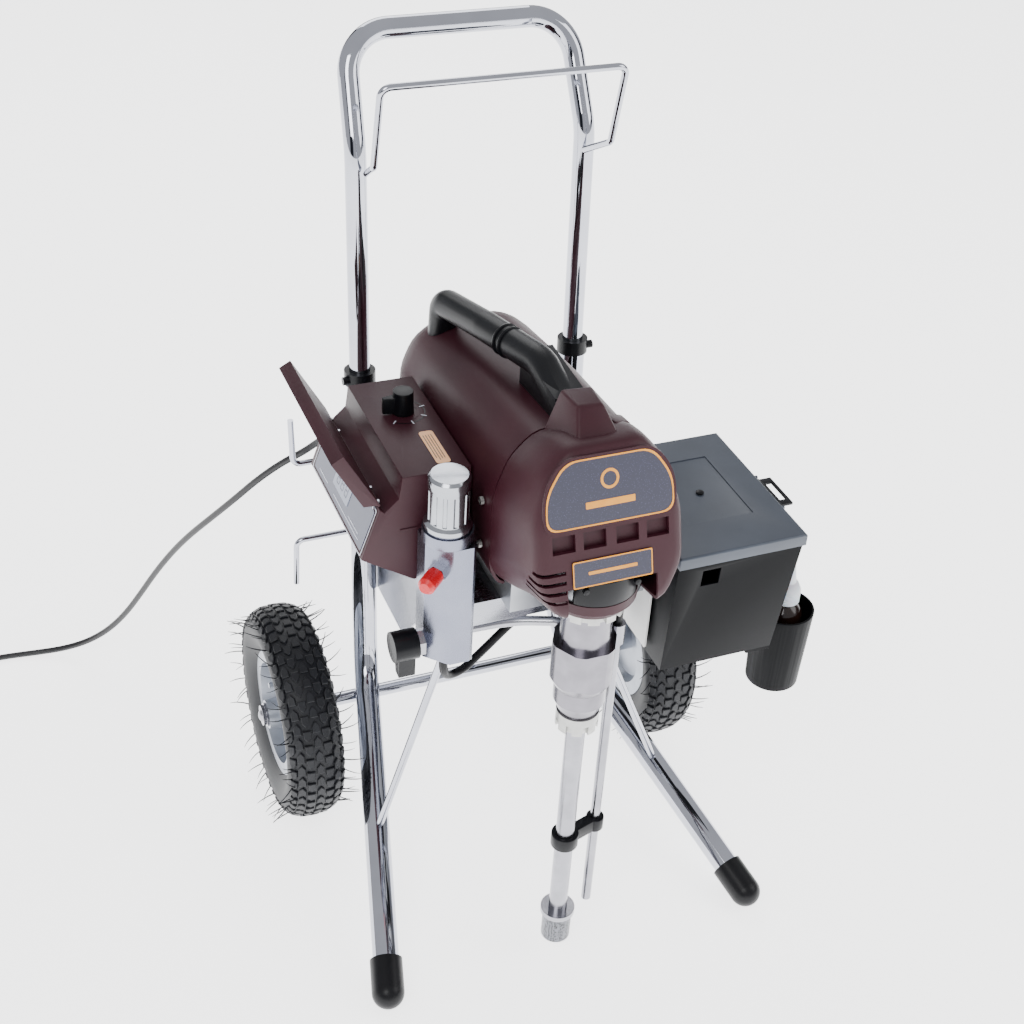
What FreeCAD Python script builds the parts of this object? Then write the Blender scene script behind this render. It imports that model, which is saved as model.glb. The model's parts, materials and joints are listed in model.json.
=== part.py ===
# Electric airless paint sprayer on an upright two-wheeled cart.
# +X is the machine's right side, -Y its front (pump and feet), +Y its rear, +Z up.
import FreeCAD, Part
import math
import os

V = FreeCAD.Vector
X_AXIS, Y_AXIS, Z_AXIS = V(1, 0, 0), V(0, 1, 0), V(0, 0, 1)

# Origin of the part: the middle of its outline on the floor, seen from the drawing origin.
PART_ORIGIN = V(10.75, -176.8, 0)

# Cart
SIDE_X = 124.3            # side tubes, each side of the middle plane
SIDE_LEAN = 0.054         # the side tubes lean back by this much per millimetre of height
LEAN_HEIGHT = 600         # height where a side tube's axis crosses y = 0
TUBE_R = 14.3             # lower side tube
TUBE_BORE_R = 11.45
HANDLE_R = 11.1           # telescoping handle tube
HANDLE_BORE_R = 9.3
TUBE_TOP_Z = 545
HANDLE_LOW_Z = 455        # lower end of the handle tube inside the side tube
BEND_Z = 150              # where a side tube turns forward into its leg
FOOT = V(214, -388, 19)   # centre of a leg's front end, mirrored for the left
FOOT_CAP_R = 17.6
AXLE_Y, AXLE_Z, AXLE_R = -48, 127, 8.0
WHEEL_R, WHEEL_X, TYRE_HALF_WIDTH = 127, 223, 32.5
HUB_END_X = 257

# Drive
DRIVE_X = -18             # middle plane of motor, hood and pump
PUMP_Y = -380
BRACKET_TOP_Z = 458
SHEET = 3.0               # bracket sheet thickness
HOOD_WALL = 3.0

# Filter manifold
MANIFOLD = V(-131, -300, 0)
MANIFOLD_HALF = 22.5
MANIFOLD_LOW_Z, MANIFOLD_TOP_Z = 396, 534

# Control box
BOX_RIGHT_X, BOX_TOP_LEFT_X = -98, -166
BOX_FRONT_Y, BOX_REAR_Y, BOX_TOP_Z = -270, -97, 589
LID_HINGE = V(-190, 0, 561)

# Toolbox
TRAY_X0, TRAY_X1, TRAY_Y0, TRAY_Y1 = 86, 224, -362, -170
TRAY_Z0, TRAY_Z1 = 354, 490
TRAY_HINGE_X = TRAY_X0 - 3.2
CUP = V(252, -312, 0)


def side_point(side, z):
    """Point on a side tube's axis at height z; side is -1 left, +1 right."""
    return V(side * SIDE_X, SIDE_LEAN * (z - LEAN_HEIGHT), z)


def box(x0, x1, y0, y1, z0, z1):
    return Part.makeBox(x1 - x0, y1 - y0, z1 - z0, V(x0, y0, z0))


def rod(start, end, radius):
    return Part.makeCylinder(radius, (end - start).Length, start, end - start)


def disc(centre, axis, radius, length):
    """Cylinder of the given length starting at centre and running along axis."""
    return Part.makeCylinder(radius, length, centre, axis)


def cone(centre, axis, radius_0, radius_1, length):
    return Part.makeCone(radius_0, radius_1, length, centre, axis)


def ring(centre, axis, outer, inner, length):
    return disc(centre, axis, outer, length).cut(disc(centre, axis, inner, length))


def extrude(points, direction):
    return Part.Face(Part.makePolygon(points + [points[0]])).extrude(direction)


def hexagon(centre, axis, across_flats, length):
    """Hexagonal prism along axis."""
    prism = Part.Face(Part.makePolygon([
        V(across_flats / math.sqrt(3) * math.cos(math.radians(60 * k)),
          across_flats / math.sqrt(3) * math.sin(math.radians(60 * k)), 0) for k in range(7)
    ])).extrude(V(0, 0, length))
    prism.Placement = FreeCAD.Placement(centre, FreeCAD.Rotation(Z_AXIS, axis))
    return prism


def bent_wire(points, radii):
    """Straight runs joined by tangent arcs; one radius for each inner point."""
    edges, here = [], points[0]
    for before, corner, after, radius in zip(points, points[1:], points[2:], radii):
        into = (corner - before).normalize()
        out = (after - corner).normalize()
        turn = into.getAngle(out)
        setback = radius * math.tan(turn / 2)
        start, end = corner - into * setback, corner + out * setback
        bisector = (out - into).normalize()
        middle = corner + bisector * (radius / math.cos(turn / 2) - radius)
        edges.append(Part.LineSegment(here, start).toShape())
        edges.append(Part.Arc(start, middle, end).toShape())
        here = end
    edges.append(Part.LineSegment(here, points[-1]).toShape())
    return Part.Wire(edges)


def bent_rod(points, radii, radius):
    """Round bar along a bent wire."""
    path = bent_wire(points, radii)
    profile = Part.Wire(Part.makeCircle(radius, points[0], points[1] - points[0]))
    return path.makePipeShell([profile], True, False)


def revolve(points, centre, axis):
    """Closed outline of (radius, along) pairs turned about axis through centre."""
    outline = Part.Face(Part.makePolygon([V(r, 0, a) for r, a in points + [points[0]]]))
    solid = outline.revolve(V(0, 0, 0), Z_AXIS, 360)
    solid.Placement = FreeCAD.Placement(centre, FreeCAD.Rotation(Z_AXIS, axis))
    return solid


def fuse(first, *others):
    return first.fuse(list(others)).removeSplitter()


def export(name, *shapes):
    """Write one node, moved to the part's own origin."""
    shape = shapes[0] if len(shapes) == 1 else Part.makeCompound(list(shapes))
    shape = shape.copy()
    shape.translate(PART_ORIGIN * -1)
    for solid in shape.Solids:
        assert solid.isValid() and solid.Volume > 0, name
    shape.exportStep("parts/" + name + ".step")
    NODES[name] = shape


# --- cart ------------------------------------------------------------------------------

def axle():
    return rod(V(-HUB_END_X + 4, AXLE_Y, AXLE_Z), V(HUB_END_X - 4, AXLE_Y, AXLE_Z), AXLE_R)


def side_tube(side):
    """Lower side tube, bent forward into its leg, hollow where the handle slides."""
    top = side_point(side, TUBE_TOP_Z)
    bend = side_point(side, BEND_Z)
    foot = V(side * FOOT.x, FOOT.y, FOOT.z)
    tube = bent_rod([top, bend, foot], [62], TUBE_R)
    return tube.cut(bent_rod([top, bend, foot], [62], TUBE_BORE_R)).cut(axle())


def foot_cap(side):
    """Rubber cap with a rounded nose pushed over the leg's end."""
    foot = V(side * FOOT.x, FOOT.y, FOOT.z)
    bend = side_point(side, BEND_Z)
    along = (foot - bend).normalize()
    outer = disc(foot - along * 32, along, FOOT_CAP_R, 36).fuse(
        Part.makeSphere(FOOT_CAP_R, foot + along * 4))
    return outer.cut(disc(foot - along * 40, along, TUBE_R, 40)).removeSplitter()


def collar(side):
    """Black clamp ring at the top of the lower tube."""
    top = side_point(side, TUBE_TOP_Z)
    up = (side_point(side, 600) - side_point(side, 500)).normalize()
    body = disc(top - up * 13, up, 17.0, 16).cut(disc(top - up * 13, up, TUBE_R, 13))
    body = body.cut(disc(top - up * 13, up, HANDLE_R + 0.35, 20))
    lug = disc(top - up * 5 + V(side * 14, -6, 0), V(side, 0, 0), 4.5, 7)
    return fuse(body, lug.cut(disc(top - up * 13, up, 16, 20)))


def handle():
    """One bent tube: two legs that slide in the side tubes, and the bar across."""
    low = [side_point(s, HANDLE_LOW_Z) for s in (-1, 1)]
    elbow = [side_point(s, 789) for s in (-1, 1)]
    corner = [V(s * 119, 62, 893) for s in (-1, 1)]
    points = [low[0], elbow[0], corner[0], corner[1], elbow[1], low[1]]
    outer = bent_rod(points, [70, 46, 46, 70], HANDLE_R)
    for side, end in zip((-1, 1), low):
        outer = outer.cut(rod(end, side_point(side, 740), HANDLE_BORE_R))
    return outer


def hose_rack():
    """Chromed wire loop that the paint hose is hung on, welded to the handle."""
    points = [V(-118, -7, 773), V(-125, -52, 799), V(-125, -72, 885),
              V(125, -72, 885), V(125, -52, 799), V(118, -7, 773)]
    loop = bent_rod(points, [9, 10, 10, 9], 3.5)
    return loop.cut(handle())


def cord_hook(z_arm, z_tip):
    """Wire hook on the left side tube; the pair holds the wound power cord."""
    root = side_point(-1, z_arm)
    corner = V(-202, root.y, z_arm)
    tip = V(-203, root.y + 2, z_tip)
    hook = bent_rod([root, corner, tip], [9], 3.3)
    return hook.cut(rod(side_point(-1, z_arm - 30), side_point(-1, z_arm + 30), TUBE_R))


def strut(side):
    """Brace from the drive bracket down to the leg."""
    low = V(side * 172.7, -223, 82)
    high = STRUT_TOP[side]
    bend = side_point(side, BEND_Z)
    foot = V(side * FOOT.x, FOOT.y, FOOT.z)
    brace = rod(low, high, 4.2)
    return brace.cut(rod(bend, foot, TUBE_R)).cut(drive_bracket())


STRUT_TOP = {-1: V(-107, -256, 374), 1: V(47.5, -256, 374)}


def drive_bracket():
    """Folded steel cradle between the side tubes that carries the whole drive."""
    side_outline = [V(0, -312, 458), V(0, -8, 458), V(0, -14, 262), V(0, -112, 262),
                    V(0, -205, 372), V(0, -296, 372), V(0, -312, 388)]
    left = extrude([p + V(-108.5, 0, 0) for p in side_outline], V(SHEET, 0, 0))
    right = extrude([p + V(46, 0, 0) for p in side_outline], V(SHEET, 0, 0))
    top = box(-108.5, 49, -312, -8, BRACKET_TOP_Z - SHEET, BRACKET_TOP_Z)
    rear = extrude([V(-122, -11, 458), V(122, -11, 458), V(122, -21, 262), V(-122, -21, 262)],
                   V(0, SHEET, 0))
    lip = box(-108.5, 78, -312, -309, 430, 458)
    box_tab = box(-130, -104, -200, -160, 458, 468)
    cradle = fuse(left, right, top, rear, lip, box_tab)
    for side in (-1, 1):
        cradle = cradle.cut(rod(side_point(side, 200), side_point(side, 520), TUBE_R))
    cradle = cradle.cut(disc(V(-120, -300, 418), X_AXIS, 8, 30))
    return cradle.cut(disc(V(23, -330, 445), Y_AXIS, 8, 40))


# --- wheels ----------------------------------------------------------------------------

def wheel_parts(side):
    """Tyre, pressed rim with hub, axle cap and valve of one wheel."""
    centre = V(side * WHEEL_X, AXLE_Y, AXLE_Z)
    out = V(side, 0, 0)
    w = TYRE_HALF_WIDTH
    tyre = revolve([(74, -22), (74, 22), (88, 29), (104, w), (115, w - 4), (122, w - 11),
                    (WHEEL_R, 8), (WHEEL_R, -8), (122, 11 - w), (115, 4 - w), (104, -w), (88, -29)],
                   centre, out)
    bore = AXLE_R + 0.35
    rim = revolve([(bore, -28), (17, -28), (17, -10), (52, -10), (58, -22), (74, -22), (74, 22),
                   (60, 22), (56, -4), (20, 2), (17, 30), (bore, 30)], centre, out)
    valve = disc(centre + V(side * 2, 0, 44), out, 3.2, 24)
    rim = rim.fuse(valve.cut(rim)).removeSplitter()
    cap = ring(centre + out * 30.3, out, 14, AXLE_R + 0.0, 2).fuse(
        disc(centre + out * 30.3, out, 12, 6).cut(disc(centre + out * 30, out, AXLE_R, 6)))
    dome = Part.makeSphere(10, centre + out * 30)
    dome = dome.common(box(-400, 400, -400, 400, 0, 400)).cut(
        disc(centre + out * (HUB_END_X - 4 - WHEEL_X), out * -1, 40, 60))
    return tyre, rim, fuse(cap, dome)


# --- hood ------------------------------------------------------------------------------

FACE_Y, FACE_LEAN = -408, 0.3    # the front face is the plane y = FACE_Y + FACE_LEAN (z - 600)


def hood_section(y, crown, shoulder, widest, skirt, floor, lean=0.0, grow=0.0):
    """Ten-sided hood section; each argument is (half width, height) of a corner pair.

    lean tips the section back, and grow shrinks it by a wall's thickness."""
    corners = [crown, shoulder, widest, skirt, floor]
    ring_points = []
    for half, z in corners:
        ring_points.append((half - grow * 0.9, z - grow if (half, z) in (crown, shoulder) else z))
    ring_points[4] = (floor[0] - grow * 0.9, floor[1] - (0.5 if grow else 0))
    right = [V(DRIVE_X + h, y + lean * (z - 600), z) for h, z in ring_points]
    left = [V(DRIVE_X - h, y + lean * (z - 600), z) for h, z in reversed(ring_points)]
    return Part.makePolygon(right + left + [right[0]])


REAR_SECTIONS = [
    (-24, (28, 604), (52, 590), (66, 560), (66, 502), (52, 488)),
    (-42, (36, 622), (62, 604), (76, 570), (76, 498), (66, 479)),
    (-180, (40, 640), (66, 618), (78, 578), (77, 500), (66, 479)),
    (-318, (40, 652), (64, 628), (78, 588), (77, 502), (66, 479)),
]
FRONT_SECTIONS = [
    (-320, (40, 652), (64, 628), (78, 588), (78, 510), (66, 488)),
    (-348, (39, 666), (62, 640), (79, 592), (79, 528), (63, 496)),
    (-378, (37, 672), (60, 646), (77, 600), (77, 544), (58, 508)),
    (FACE_Y, (34, 668), (56, 643), (72, 606), (72, 552), (52, 518)),
]


def lofted_shell(sections, wall, lean_last, open_rear, open_front):
    """Hood half: outer loft less an inner loft, open downwards."""
    outer_rings, inner_rings = [], []
    last = len(sections) - 1
    for k, (y, *corners) in enumerate(sections):
        lean = lean_last if k == last else 0.0
        outer_rings.append(hood_section(y, *corners, lean=lean))
        shift = wall if (k == 0 and not open_rear) else 0.0
        shift -= wall if (k == last and not open_front) else 0.0
        inner_rings.append(hood_section(y - shift, *corners, lean=lean, grow=wall))
    outer = Part.makeLoft(outer_rings, True, True)
    inner = Part.makeLoft(inner_rings, True, True)
    return outer.cut(inner)


def rear_hood():
    shell = lofted_shell(REAR_SECTIONS, HOOD_WALL, 0.0, False, True)
    belly = box(-300, 300, -500, 100, 300, 481)
    return shell.cut(belly).cut(box(-300, 300, -330, -317.6, 300, 800))


def front_cover():
    shell = lofted_shell(FRONT_SECTIONS, HOOD_WALL, FACE_LEAN, True, False)
    mouth = disc(V(DRIVE_X, PUMP_Y, 400), Z_AXIS, 44.3, 147)
    chin = box(DRIVE_X - 44.3, DRIVE_X + 44.3, -460, -380, 400, 547)
    belly = box(-300, 300, -500, 100, 300, 507)
    vents = [box(DRIVE_X + x, DRIVE_X + x + 22, -460, -395, 580, 598) for x in (-57, -27, 5, 35)]
    shell = shell.cut(mouth).cut(chin).cut(belly).cut(box(-300, 300, -318.4, 0, 300, 800))
    return shell.cut(vents)


# --- drive -----------------------------------------------------------------------------

MOTOR_Z = 545
MOTOR_R = 56
CRANK_Z = 582
CRANK_THROW = 7
PINION_PITCH_R, GEAR_PITCH_R = 9.25, 27.75
PINION_TEETH, GEAR_TEETH = 12, 36


def motor():
    """Stator ring, rotor core on its shaft, and the fan."""
    front_y, rear_y = -200, -74
    stator = ring(V(DRIVE_X, rear_y, MOTOR_Z), V(0, -1, 0), MOTOR_R, 34, rear_y - front_y)
    core = disc(V(DRIVE_X, rear_y - 8, MOTOR_Z), V(0, -1, 0), 33, 104)
    shaft = disc(V(DRIVE_X, -52, MOTOR_Z), V(0, -1, 0), 5, 196)
    rotor = fuse(core, shaft)
    fan = ring(V(DRIVE_X, -58, MOTOR_Z), V(0, -1, 0), 14, 5, 10)
    for k in range(9):
        blade = box(-2, 2, -67, -58, 12, 46)
        blade.rotate(V(0, 0, 0), Y_AXIS, 40 * k)
        blade.translate(V(DRIVE_X, 0, MOTOR_Z))
        fan = fan.fuse(blade)
    return stator, rotor, fan.removeSplitter()


def gear(centre, radius, bore, teeth, length, phase):
    """Plain spur gear along -Y; phase turns its first tooth, in pitches."""
    wheel = ring(centre, V(0, -1, 0), radius - 2, bore, length)
    pitch = 360.0 / teeth
    width = 2 * math.pi * radius / teeth * 0.36
    for k in range(teeth):
        tooth = box(-width / 2, width / 2, -length, 0, radius - 3, radius + 1)
        tooth.rotate(V(0, 0, 0), Y_AXIS, pitch * (k + phase))
        tooth.translate(centre)
        wheel = wheel.fuse(tooth)
    return wheel.removeSplitter()


def drive_housing():
    """Cast aluminium case: motor flange, gear chamber and the pump's clamp nose."""
    foot = box(DRIVE_X - 60, DRIVE_X + 60, -335, -204, 458, 500)
    case = box(DRIVE_X - 62, DRIVE_X + 62, -335, -202, 500, 600)
    roof = box(DRIVE_X - 42, DRIVE_X + 42, -335, -202, 600, 622)
    head = box(DRIVE_X - 40, DRIVE_X + 40, -396, -335, 560, 624)
    nose = disc(V(DRIVE_X, PUMP_Y, 505), Z_AXIS, 41, 41)
    throat = disc(V(DRIVE_X, PUMP_Y, 546), Z_AXIS, 30, 19)
    neck = box(DRIVE_X - 40, DRIVE_X + 40, -370, -335, 507, 565)
    body = fuse(foot, case, roof, head, nose, throat, neck)
    body = body.cut(box(DRIVE_X - 56, DRIVE_X + 56, -327, -212, 508, 594))
    body = body.cut(box(DRIVE_X - 36, DRIVE_X + 36, -327, -212, 590, 616))
    body = body.cut(disc(V(DRIVE_X, -320, CRANK_Z), V(0, -1, 0), 10.4, 20))
    body = body.cut(disc(V(DRIVE_X, -200, MOTOR_Z), V(0, -1, 0), 5.4, 20))
    body = body.cut(box(DRIVE_X - 33, DRIVE_X + 33, -390, -333, 545, 618))
    body = body.cut(disc(V(DRIVE_X, PUMP_Y, 500), Z_AXIS, 26, 60))
    return body


def crankshaft():
    """Big gear on the crank's journal, with the crank pin at its front end."""
    face = V(DRIVE_X, -352, CRANK_Z)
    journal = disc(V(DRIVE_X, -240, CRANK_Z), V(0, -1, 0), 10, 112)
    web = disc(face, V(0, -1, 0), 22, 10)
    pin = disc(face + V(CRANK_THROW, -10, 0), V(0, -1, 0), 5, 22)
    return fuse(journal, web, pin)


def yoke():
    """Frame that the crank pin drives, with the short rod down to the piston."""
    frame = box(DRIVE_X - 26, DRIVE_X + 26, -384, -366, CRANK_Z - 26, CRANK_Z + 26)
    frame = frame.cut(box(DRIVE_X - 19, DRIVE_X + 19, -390, -360, CRANK_Z - 20, CRANK_Z + 20))
    return frame.cut(pump_rod())


# --- pump ------------------------------------------------------------------------------

def castle_nut(centre, radius, bore, height, notches):
    nut = ring(centre, Z_AXIS, radius, bore, height)
    for k in range(notches):
        notch = box(radius - 4, radius + 4, -3.2, 3.2, -1, height * 0.55)
        notch.rotate(V(0, 0, 0), Z_AXIS, 360.0 / notches * k)
        notch.translate(centre)
        nut = nut.cut(notch)
    return nut


def pump_parts():
    axis = V(DRIVE_X, PUMP_Y, 0)

    def at(z):
        return V(axis.x, axis.y, z)

    jam_nut = castle_nut(at(489), 34, 24.7, 15.7, 12)
    cylinder = ring(at(426), Z_AXIS, 24.6, 17.2, 119)
    packing = ring(at(522), Z_AXIS, 17.2, 9.4, 22)
    housing = fuse(disc(at(404), Z_AXIS, 32, 43), cone(at(392), Z_AXIS, 26, 32, 12),
                   disc(at(374), Z_AXIS, 26, 18), cone(at(358), Z_AXIS, 19.5, 26, 16))
    hexed = housing.common(hexagon(at(350), Z_AXIS, 60, 120))
    hexed = hexed.cut(disc(at(426), Z_AXIS, 24.6, 30)).cut(disc(at(392), Z_AXIS, 17.2, 40))
    hexed = hexed.cut(disc(at(350), Z_AXIS, 9.5, 50))
    hexed = hexed.cut(disc(at(426), Z_AXIS, 17.2, 30))
    return jam_nut, cylinder, packing, hexed


def rod_cover():
    """Black half-round cover over the rod's window in the nose."""
    sleeve = ring(V(DRIVE_X, PUMP_Y, 519), Z_AXIS, 44.0, 41.3, 27)
    return sleeve.common(box(DRIVE_X - 31, DRIVE_X + 31, PUMP_Y - 60, PUMP_Y, 400, 600))


# --- siphon, drain and hoses -------------------------------------------------------------

def hose_radii(points):
    """Arc radius at each corner: as large as its two runs allow."""
    radii = []
    for before, corner, after in zip(points, points[1:], points[2:]):
        into, out = corner - before, after - corner
        turn = into.getAngle(out)
        radii.append(0.45 * min(into.Length, out.Length) / math.tan(turn / 2))
    return radii


def hose(points, radius):
    return bent_rod(points, hose_radii(points), radius)


DRAIN_X, DRAIN_Y = 22, -368


def siphon_parts():
    """Intake nut, siphon tube with its flange, strainer, drain tube and the double clip."""
    def at(z):
        return V(DRIVE_X, PUMP_Y, z)

    nut = castle_nut(at(338), 21.5, 10.1, 20, 8)
    tube = fuse(ring(at(66), Z_AXIS, 9.9, 7.6, 292), ring(at(62), Z_AXIS, 18.6, 7.6, 6))
    basket = ring(at(30), Z_AXIS, 15.8, 13.6, 32).fuse(disc(at(26), Z_AXIS, 15.8, 4)).removeSplitter()
    drain = ring(V(DRAIN_X, DRAIN_Y, 55), Z_AXIS, 5.2, 3.6, 380)
    ferrule = ring(V(DRAIN_X, DRAIN_Y, 423), Z_AXIS, 8.2, 5.2, 12).fuse(
        ring(V(DRAIN_X, DRAIN_Y, 435), Z_AXIS, 8.2, 4.6, 12)).removeSplitter()
    bridge = V(DRAIN_X - DRIVE_X, DRAIN_Y - PUMP_Y, 0)
    clip = disc(at(166), Z_AXIS, 14.5, 16).fuse(disc(at(166) + bridge, Z_AXIS, 9.5, 16))
    link = box(8, bridge.Length - 4, -6, 6, 166, 182)
    link.rotate(V(0, 0, 0), Z_AXIS, math.degrees(math.atan2(bridge.y, bridge.x)))
    link.translate(at(0))
    clip = clip.fuse(link).removeSplitter()
    clip = clip.cut(disc(at(150), Z_AXIS, 9.9, 60)).cut(disc(at(150) + bridge, Z_AXIS, 5.2, 60))
    return nut, tube, basket, drain, ferrule, clip


DRAIN_HOSE = [V(-131, -300, 395.8), V(-131, -300, 374), V(-124, -292, 354), V(-104, -284, 350),
              V(-76, -276, 366), V(-44, -273, 394), V(-10, -276, 420), V(14, -292, 438),
              V(24, -314, 445), V(32, -334, 445), V(43, -347, 455), V(48, -352, 476),
              V(42, -358, 493), V(30, -366, 494), V(23, -368, 478), V(22, -368, 447)]


def drain_hose():
    return hose(DRAIN_HOSE, 4.4)


PRESSURE_TUBE = [V(DRIVE_X, -349, 425), V(DRIVE_X, -326, 425), V(-60, -303, 419), V(-108, -300, 418)]


def pressure_tube():
    return hose(PRESSURE_TUBE, 5).cut(pump_parts()[3])


def pump_rod():
    """Piston rod with its piston, and the neck that joins it to the yoke."""
    def at(z):
        return V(DRIVE_X, PUMP_Y, z)
    return fuse(disc(at(452), Z_AXIS, 9.35, 107), disc(at(452), Z_AXIS, 17.1, 16))


def intake_ball():
    return Part.makeSphere(11, V(DRIVE_X, PUMP_Y, 403.6))


def intake_seat():
    return ring(V(DRIVE_X, PUMP_Y, 392), Z_AXIS, 17.2, 9.5, 6)


# --- manifold ---------------------------------------------------------------------------

OUTLET_DIR = V(-1, -1, 0).normalize()
OUTLET = V(MANIFOLD.x, MANIFOLD.y, 507) + OUTLET_DIR * 24 / math.sqrt(2)


def manifold_body():
    h, c = MANIFOLD_HALF, 21
    x, y = MANIFOLD.x, MANIFOLD.y
    outline = [V(x - h, y + h - 2, 0), V(x - h, y - h + c, 0), V(x - h + c, y - h, 0),
               V(x + h - 4, y - h, 0), V(x + h, y - h + 4, 0), V(x + h, y + h - 2, 0),
               V(x + h - 2, y + h, 0), V(x - h + 2, y + h, 0)]
    block = extrude([p + V(0, 0, MANIFOLD_LOW_Z) for p in outline],
                    V(0, 0, MANIFOLD_TOP_Z - MANIFOLD_LOW_Z))
    neck = disc(V(x, y, MANIFOLD_TOP_Z), Z_AXIS, 22.4, 16)
    collar_ring = disc(V(x, y, MANIFOLD_TOP_Z + 2), Z_AXIS, 24.8, 12)
    body = fuse(block, neck, collar_ring)
    body = body.cut(disc(V(x, y, 418), Z_AXIS, 15, 200))
    body = body.cut(disc(V(x, y, OUTLET.z), OUTLET_DIR, 4, 40)).cut(disc(V(x, y, 390), Z_AXIS, 4, 30))
    return body.cut(disc(V(x, y, 418), X_AXIS, 3.5, 40))


def filter_cap():
    """Fluted cap that screws into the manifold and gives way to the filter."""
    x, y = MANIFOLD.x, MANIFOLD.y
    cap = revolve([(0, 0), (14.6, 0), (14.6, 8), (23.4, 8.3), (23.4, 13), (19.5, 15), (19.5, 50),
                   (20.3, 53), (20.3, 62), (17.8, 65), (0, 65)], V(x, y, 542), Z_AXIS)
    for k in range(12):
        flute = disc(V(x + 20.8, y, 558), Z_AXIS, 2.6, 33)
        flute.rotate(V(x, y, 0), Z_AXIS, 30 * k)
        cap = cap.cut(flute)
    return cap


def filter_element():
    return ring(V(MANIFOLD.x, MANIFOLD.y, 419), Z_AXIS, 11.5, 8, 120)


def outlet_nipple():
    """Hose nipple: hexagon and threaded end, pointing forward and left."""
    hex_part = hexagon(OUTLET, OUTLET_DIR, 17, 8)
    thread = disc(OUTLET + OUTLET_DIR * 8, OUTLET_DIR, 6.6, 15)
    return fuse(hex_part, thread).cut(disc(OUTLET - OUTLET_DIR, OUTLET_DIR, 3.5, 40))


def outlet_cap():
    start = OUTLET + OUTLET_DIR * 8.4
    cup = ring(start, OUTLET_DIR, 8.7, 6.95, 17)
    end = disc(start + OUTLET_DIR * 17, OUTLET_DIR, 8.7, 2).fuse(
        cone(start + OUTLET_DIR * 19, OUTLET_DIR, 8.7, 5.5, 4))
    return fuse(cup, end)


VALVE = V(MANIFOLD.x - MANIFOLD_HALF, MANIFOLD.y, 414)


def prime_valve_body():
    left = V(-1, 0, 0)
    return fuse(hexagon(VALVE, left, 24, 6), disc(VALVE + left * 6, left, 7, 10))


def prime_valve_knob():
    """Black drain-valve knob with a finger lever."""
    left = V(-1, 0, 0)
    base = VALVE + left * 6.4
    knob = disc(base, left, 15.5, 25)
    lever = extrude([base + V(-3, -9, -8), base + V(-3, 9, -8), base + V(-3, 2, -33),
                     base + V(-3, -8, -34)], V(-17, 0, 0))
    knob = fuse(knob, lever).cut(disc(base, left, 7.35, 10))
    return knob


def transducer():
    back = V(MANIFOLD.x, MANIFOLD.y + MANIFOLD_HALF, 432)
    return fuse(hexagon(back, Y_AXIS, 22, 8), disc(back + V(0, 8, 0), Y_AXIS, 9, 20))



# --- control box ------------------------------------------------------------------------

def box_profile(inset):
    """Section of the control box; the left side is the slanted display face."""
    i = inset
    return [(BOX_RIGHT_X - i, BOX_TOP_Z - i), (BOX_TOP_LEFT_X + i, BOX_TOP_Z - i),
            (BOX_TOP_LEFT_X - 3 + i, 566 - i), (-183, 553 - i), (-187.5 + i, 557 - i * 1.6),
            (-206 + i * 1.3, 503 + i * 0.3), (-153 + i * 0.3, 468 + i), (BOX_RIGHT_X - i, 468 + i)]


def control_box():
    outer = extrude([V(x, BOX_FRONT_Y, z) for x, z in box_profile(0)],
                    V(0, BOX_REAR_Y - BOX_FRONT_Y, 0))
    inner = extrude([V(x, BOX_FRONT_Y + 2.5, z) for x, z in box_profile(2.5)],
                    V(0, BOX_REAR_Y - BOX_FRONT_Y - 5, 0))
    shell = outer.cut(inner)
    shell = shell.cut(disc(V(KNOB.x, KNOB.y, 580), Z_AXIS, 3.6, 20))
    shell = shell.cut(disc(V(GLAND.x, BOX_REAR_Y - 5, GLAND.z), Y_AXIS, 6, 10))
    return shell.cut(box(-132, -110, BOX_REAR_Y - 5, BOX_REAR_Y + 5, 493, 507))


KNOB = V(-129, -160, BOX_TOP_Z)
GLAND = V(-160, BOX_REAR_Y, 500)
LID_OPEN = math.radians(120)
LID_WIDTH = 73


def box_lid():
    """Shallow tray lid over the display, hinged along the box's left rim, standing open."""
    y0, y1 = BOX_FRONT_Y - 3.2, BOX_REAR_Y + 3.2
    plate = box(2.5, LID_WIDTH, y0, y1, 1.2, 3.4)
    edge = box(LID_WIDTH - 2.2, LID_WIDTH, y0, y1, -10, 2)
    plate = plate.fuse(edge)
    for y in (y0, y1 - 2.2):
        end = extrude([V(3.5, y, 2), V(LID_WIDTH, y, 2), V(LID_WIDTH, y, -10), V(12, y, -10)], V(0, 2.2, 0))
        plate = plate.fuse(end)
    for y in (BOX_FRONT_Y + 14, BOX_REAR_Y - 32):
        knuckle = ring(V(0, y, 0), Y_AXIS, 3, 1.25, 18)
        arm = box(0, 4, y, y + 18, 1.4, 3.0)
        plate = plate.fuse(knuckle).fuse(arm.cut(disc(V(0, y - 1, 0), Y_AXIS, 1.25, 30)))
    plate = plate.removeSplitter()
    plate = plate.mirror(V(0, 0, 0), Z_AXIS)
    plate.rotate(V(0, 0, 0), Y_AXIS, -math.degrees(LID_OPEN))
    plate.translate(LID_HINGE)
    return plate


def lid_pins():
    """Hinge pins held in ears that stand on the box's rim."""
    pins = []
    for y in (BOX_FRONT_Y + 10, BOX_REAR_Y - 36):
        pin = disc(V(LID_HINGE.x, y, LID_HINGE.z), Y_AXIS, 1.2, 26)
        for ear_y in (y, y + 23):
            pin = pin.fuse(disc(V(LID_HINGE.x, ear_y, LID_HINGE.z), Y_AXIS, 2.2, 3))
            pin = pin.fuse(box(LID_HINGE.x - 1.2, LID_HINGE.x + 5, ear_y, ear_y + 3, 552, LID_HINGE.z))
        pins.append(pin.removeSplitter().cut(control_box()))
    return pins


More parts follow.
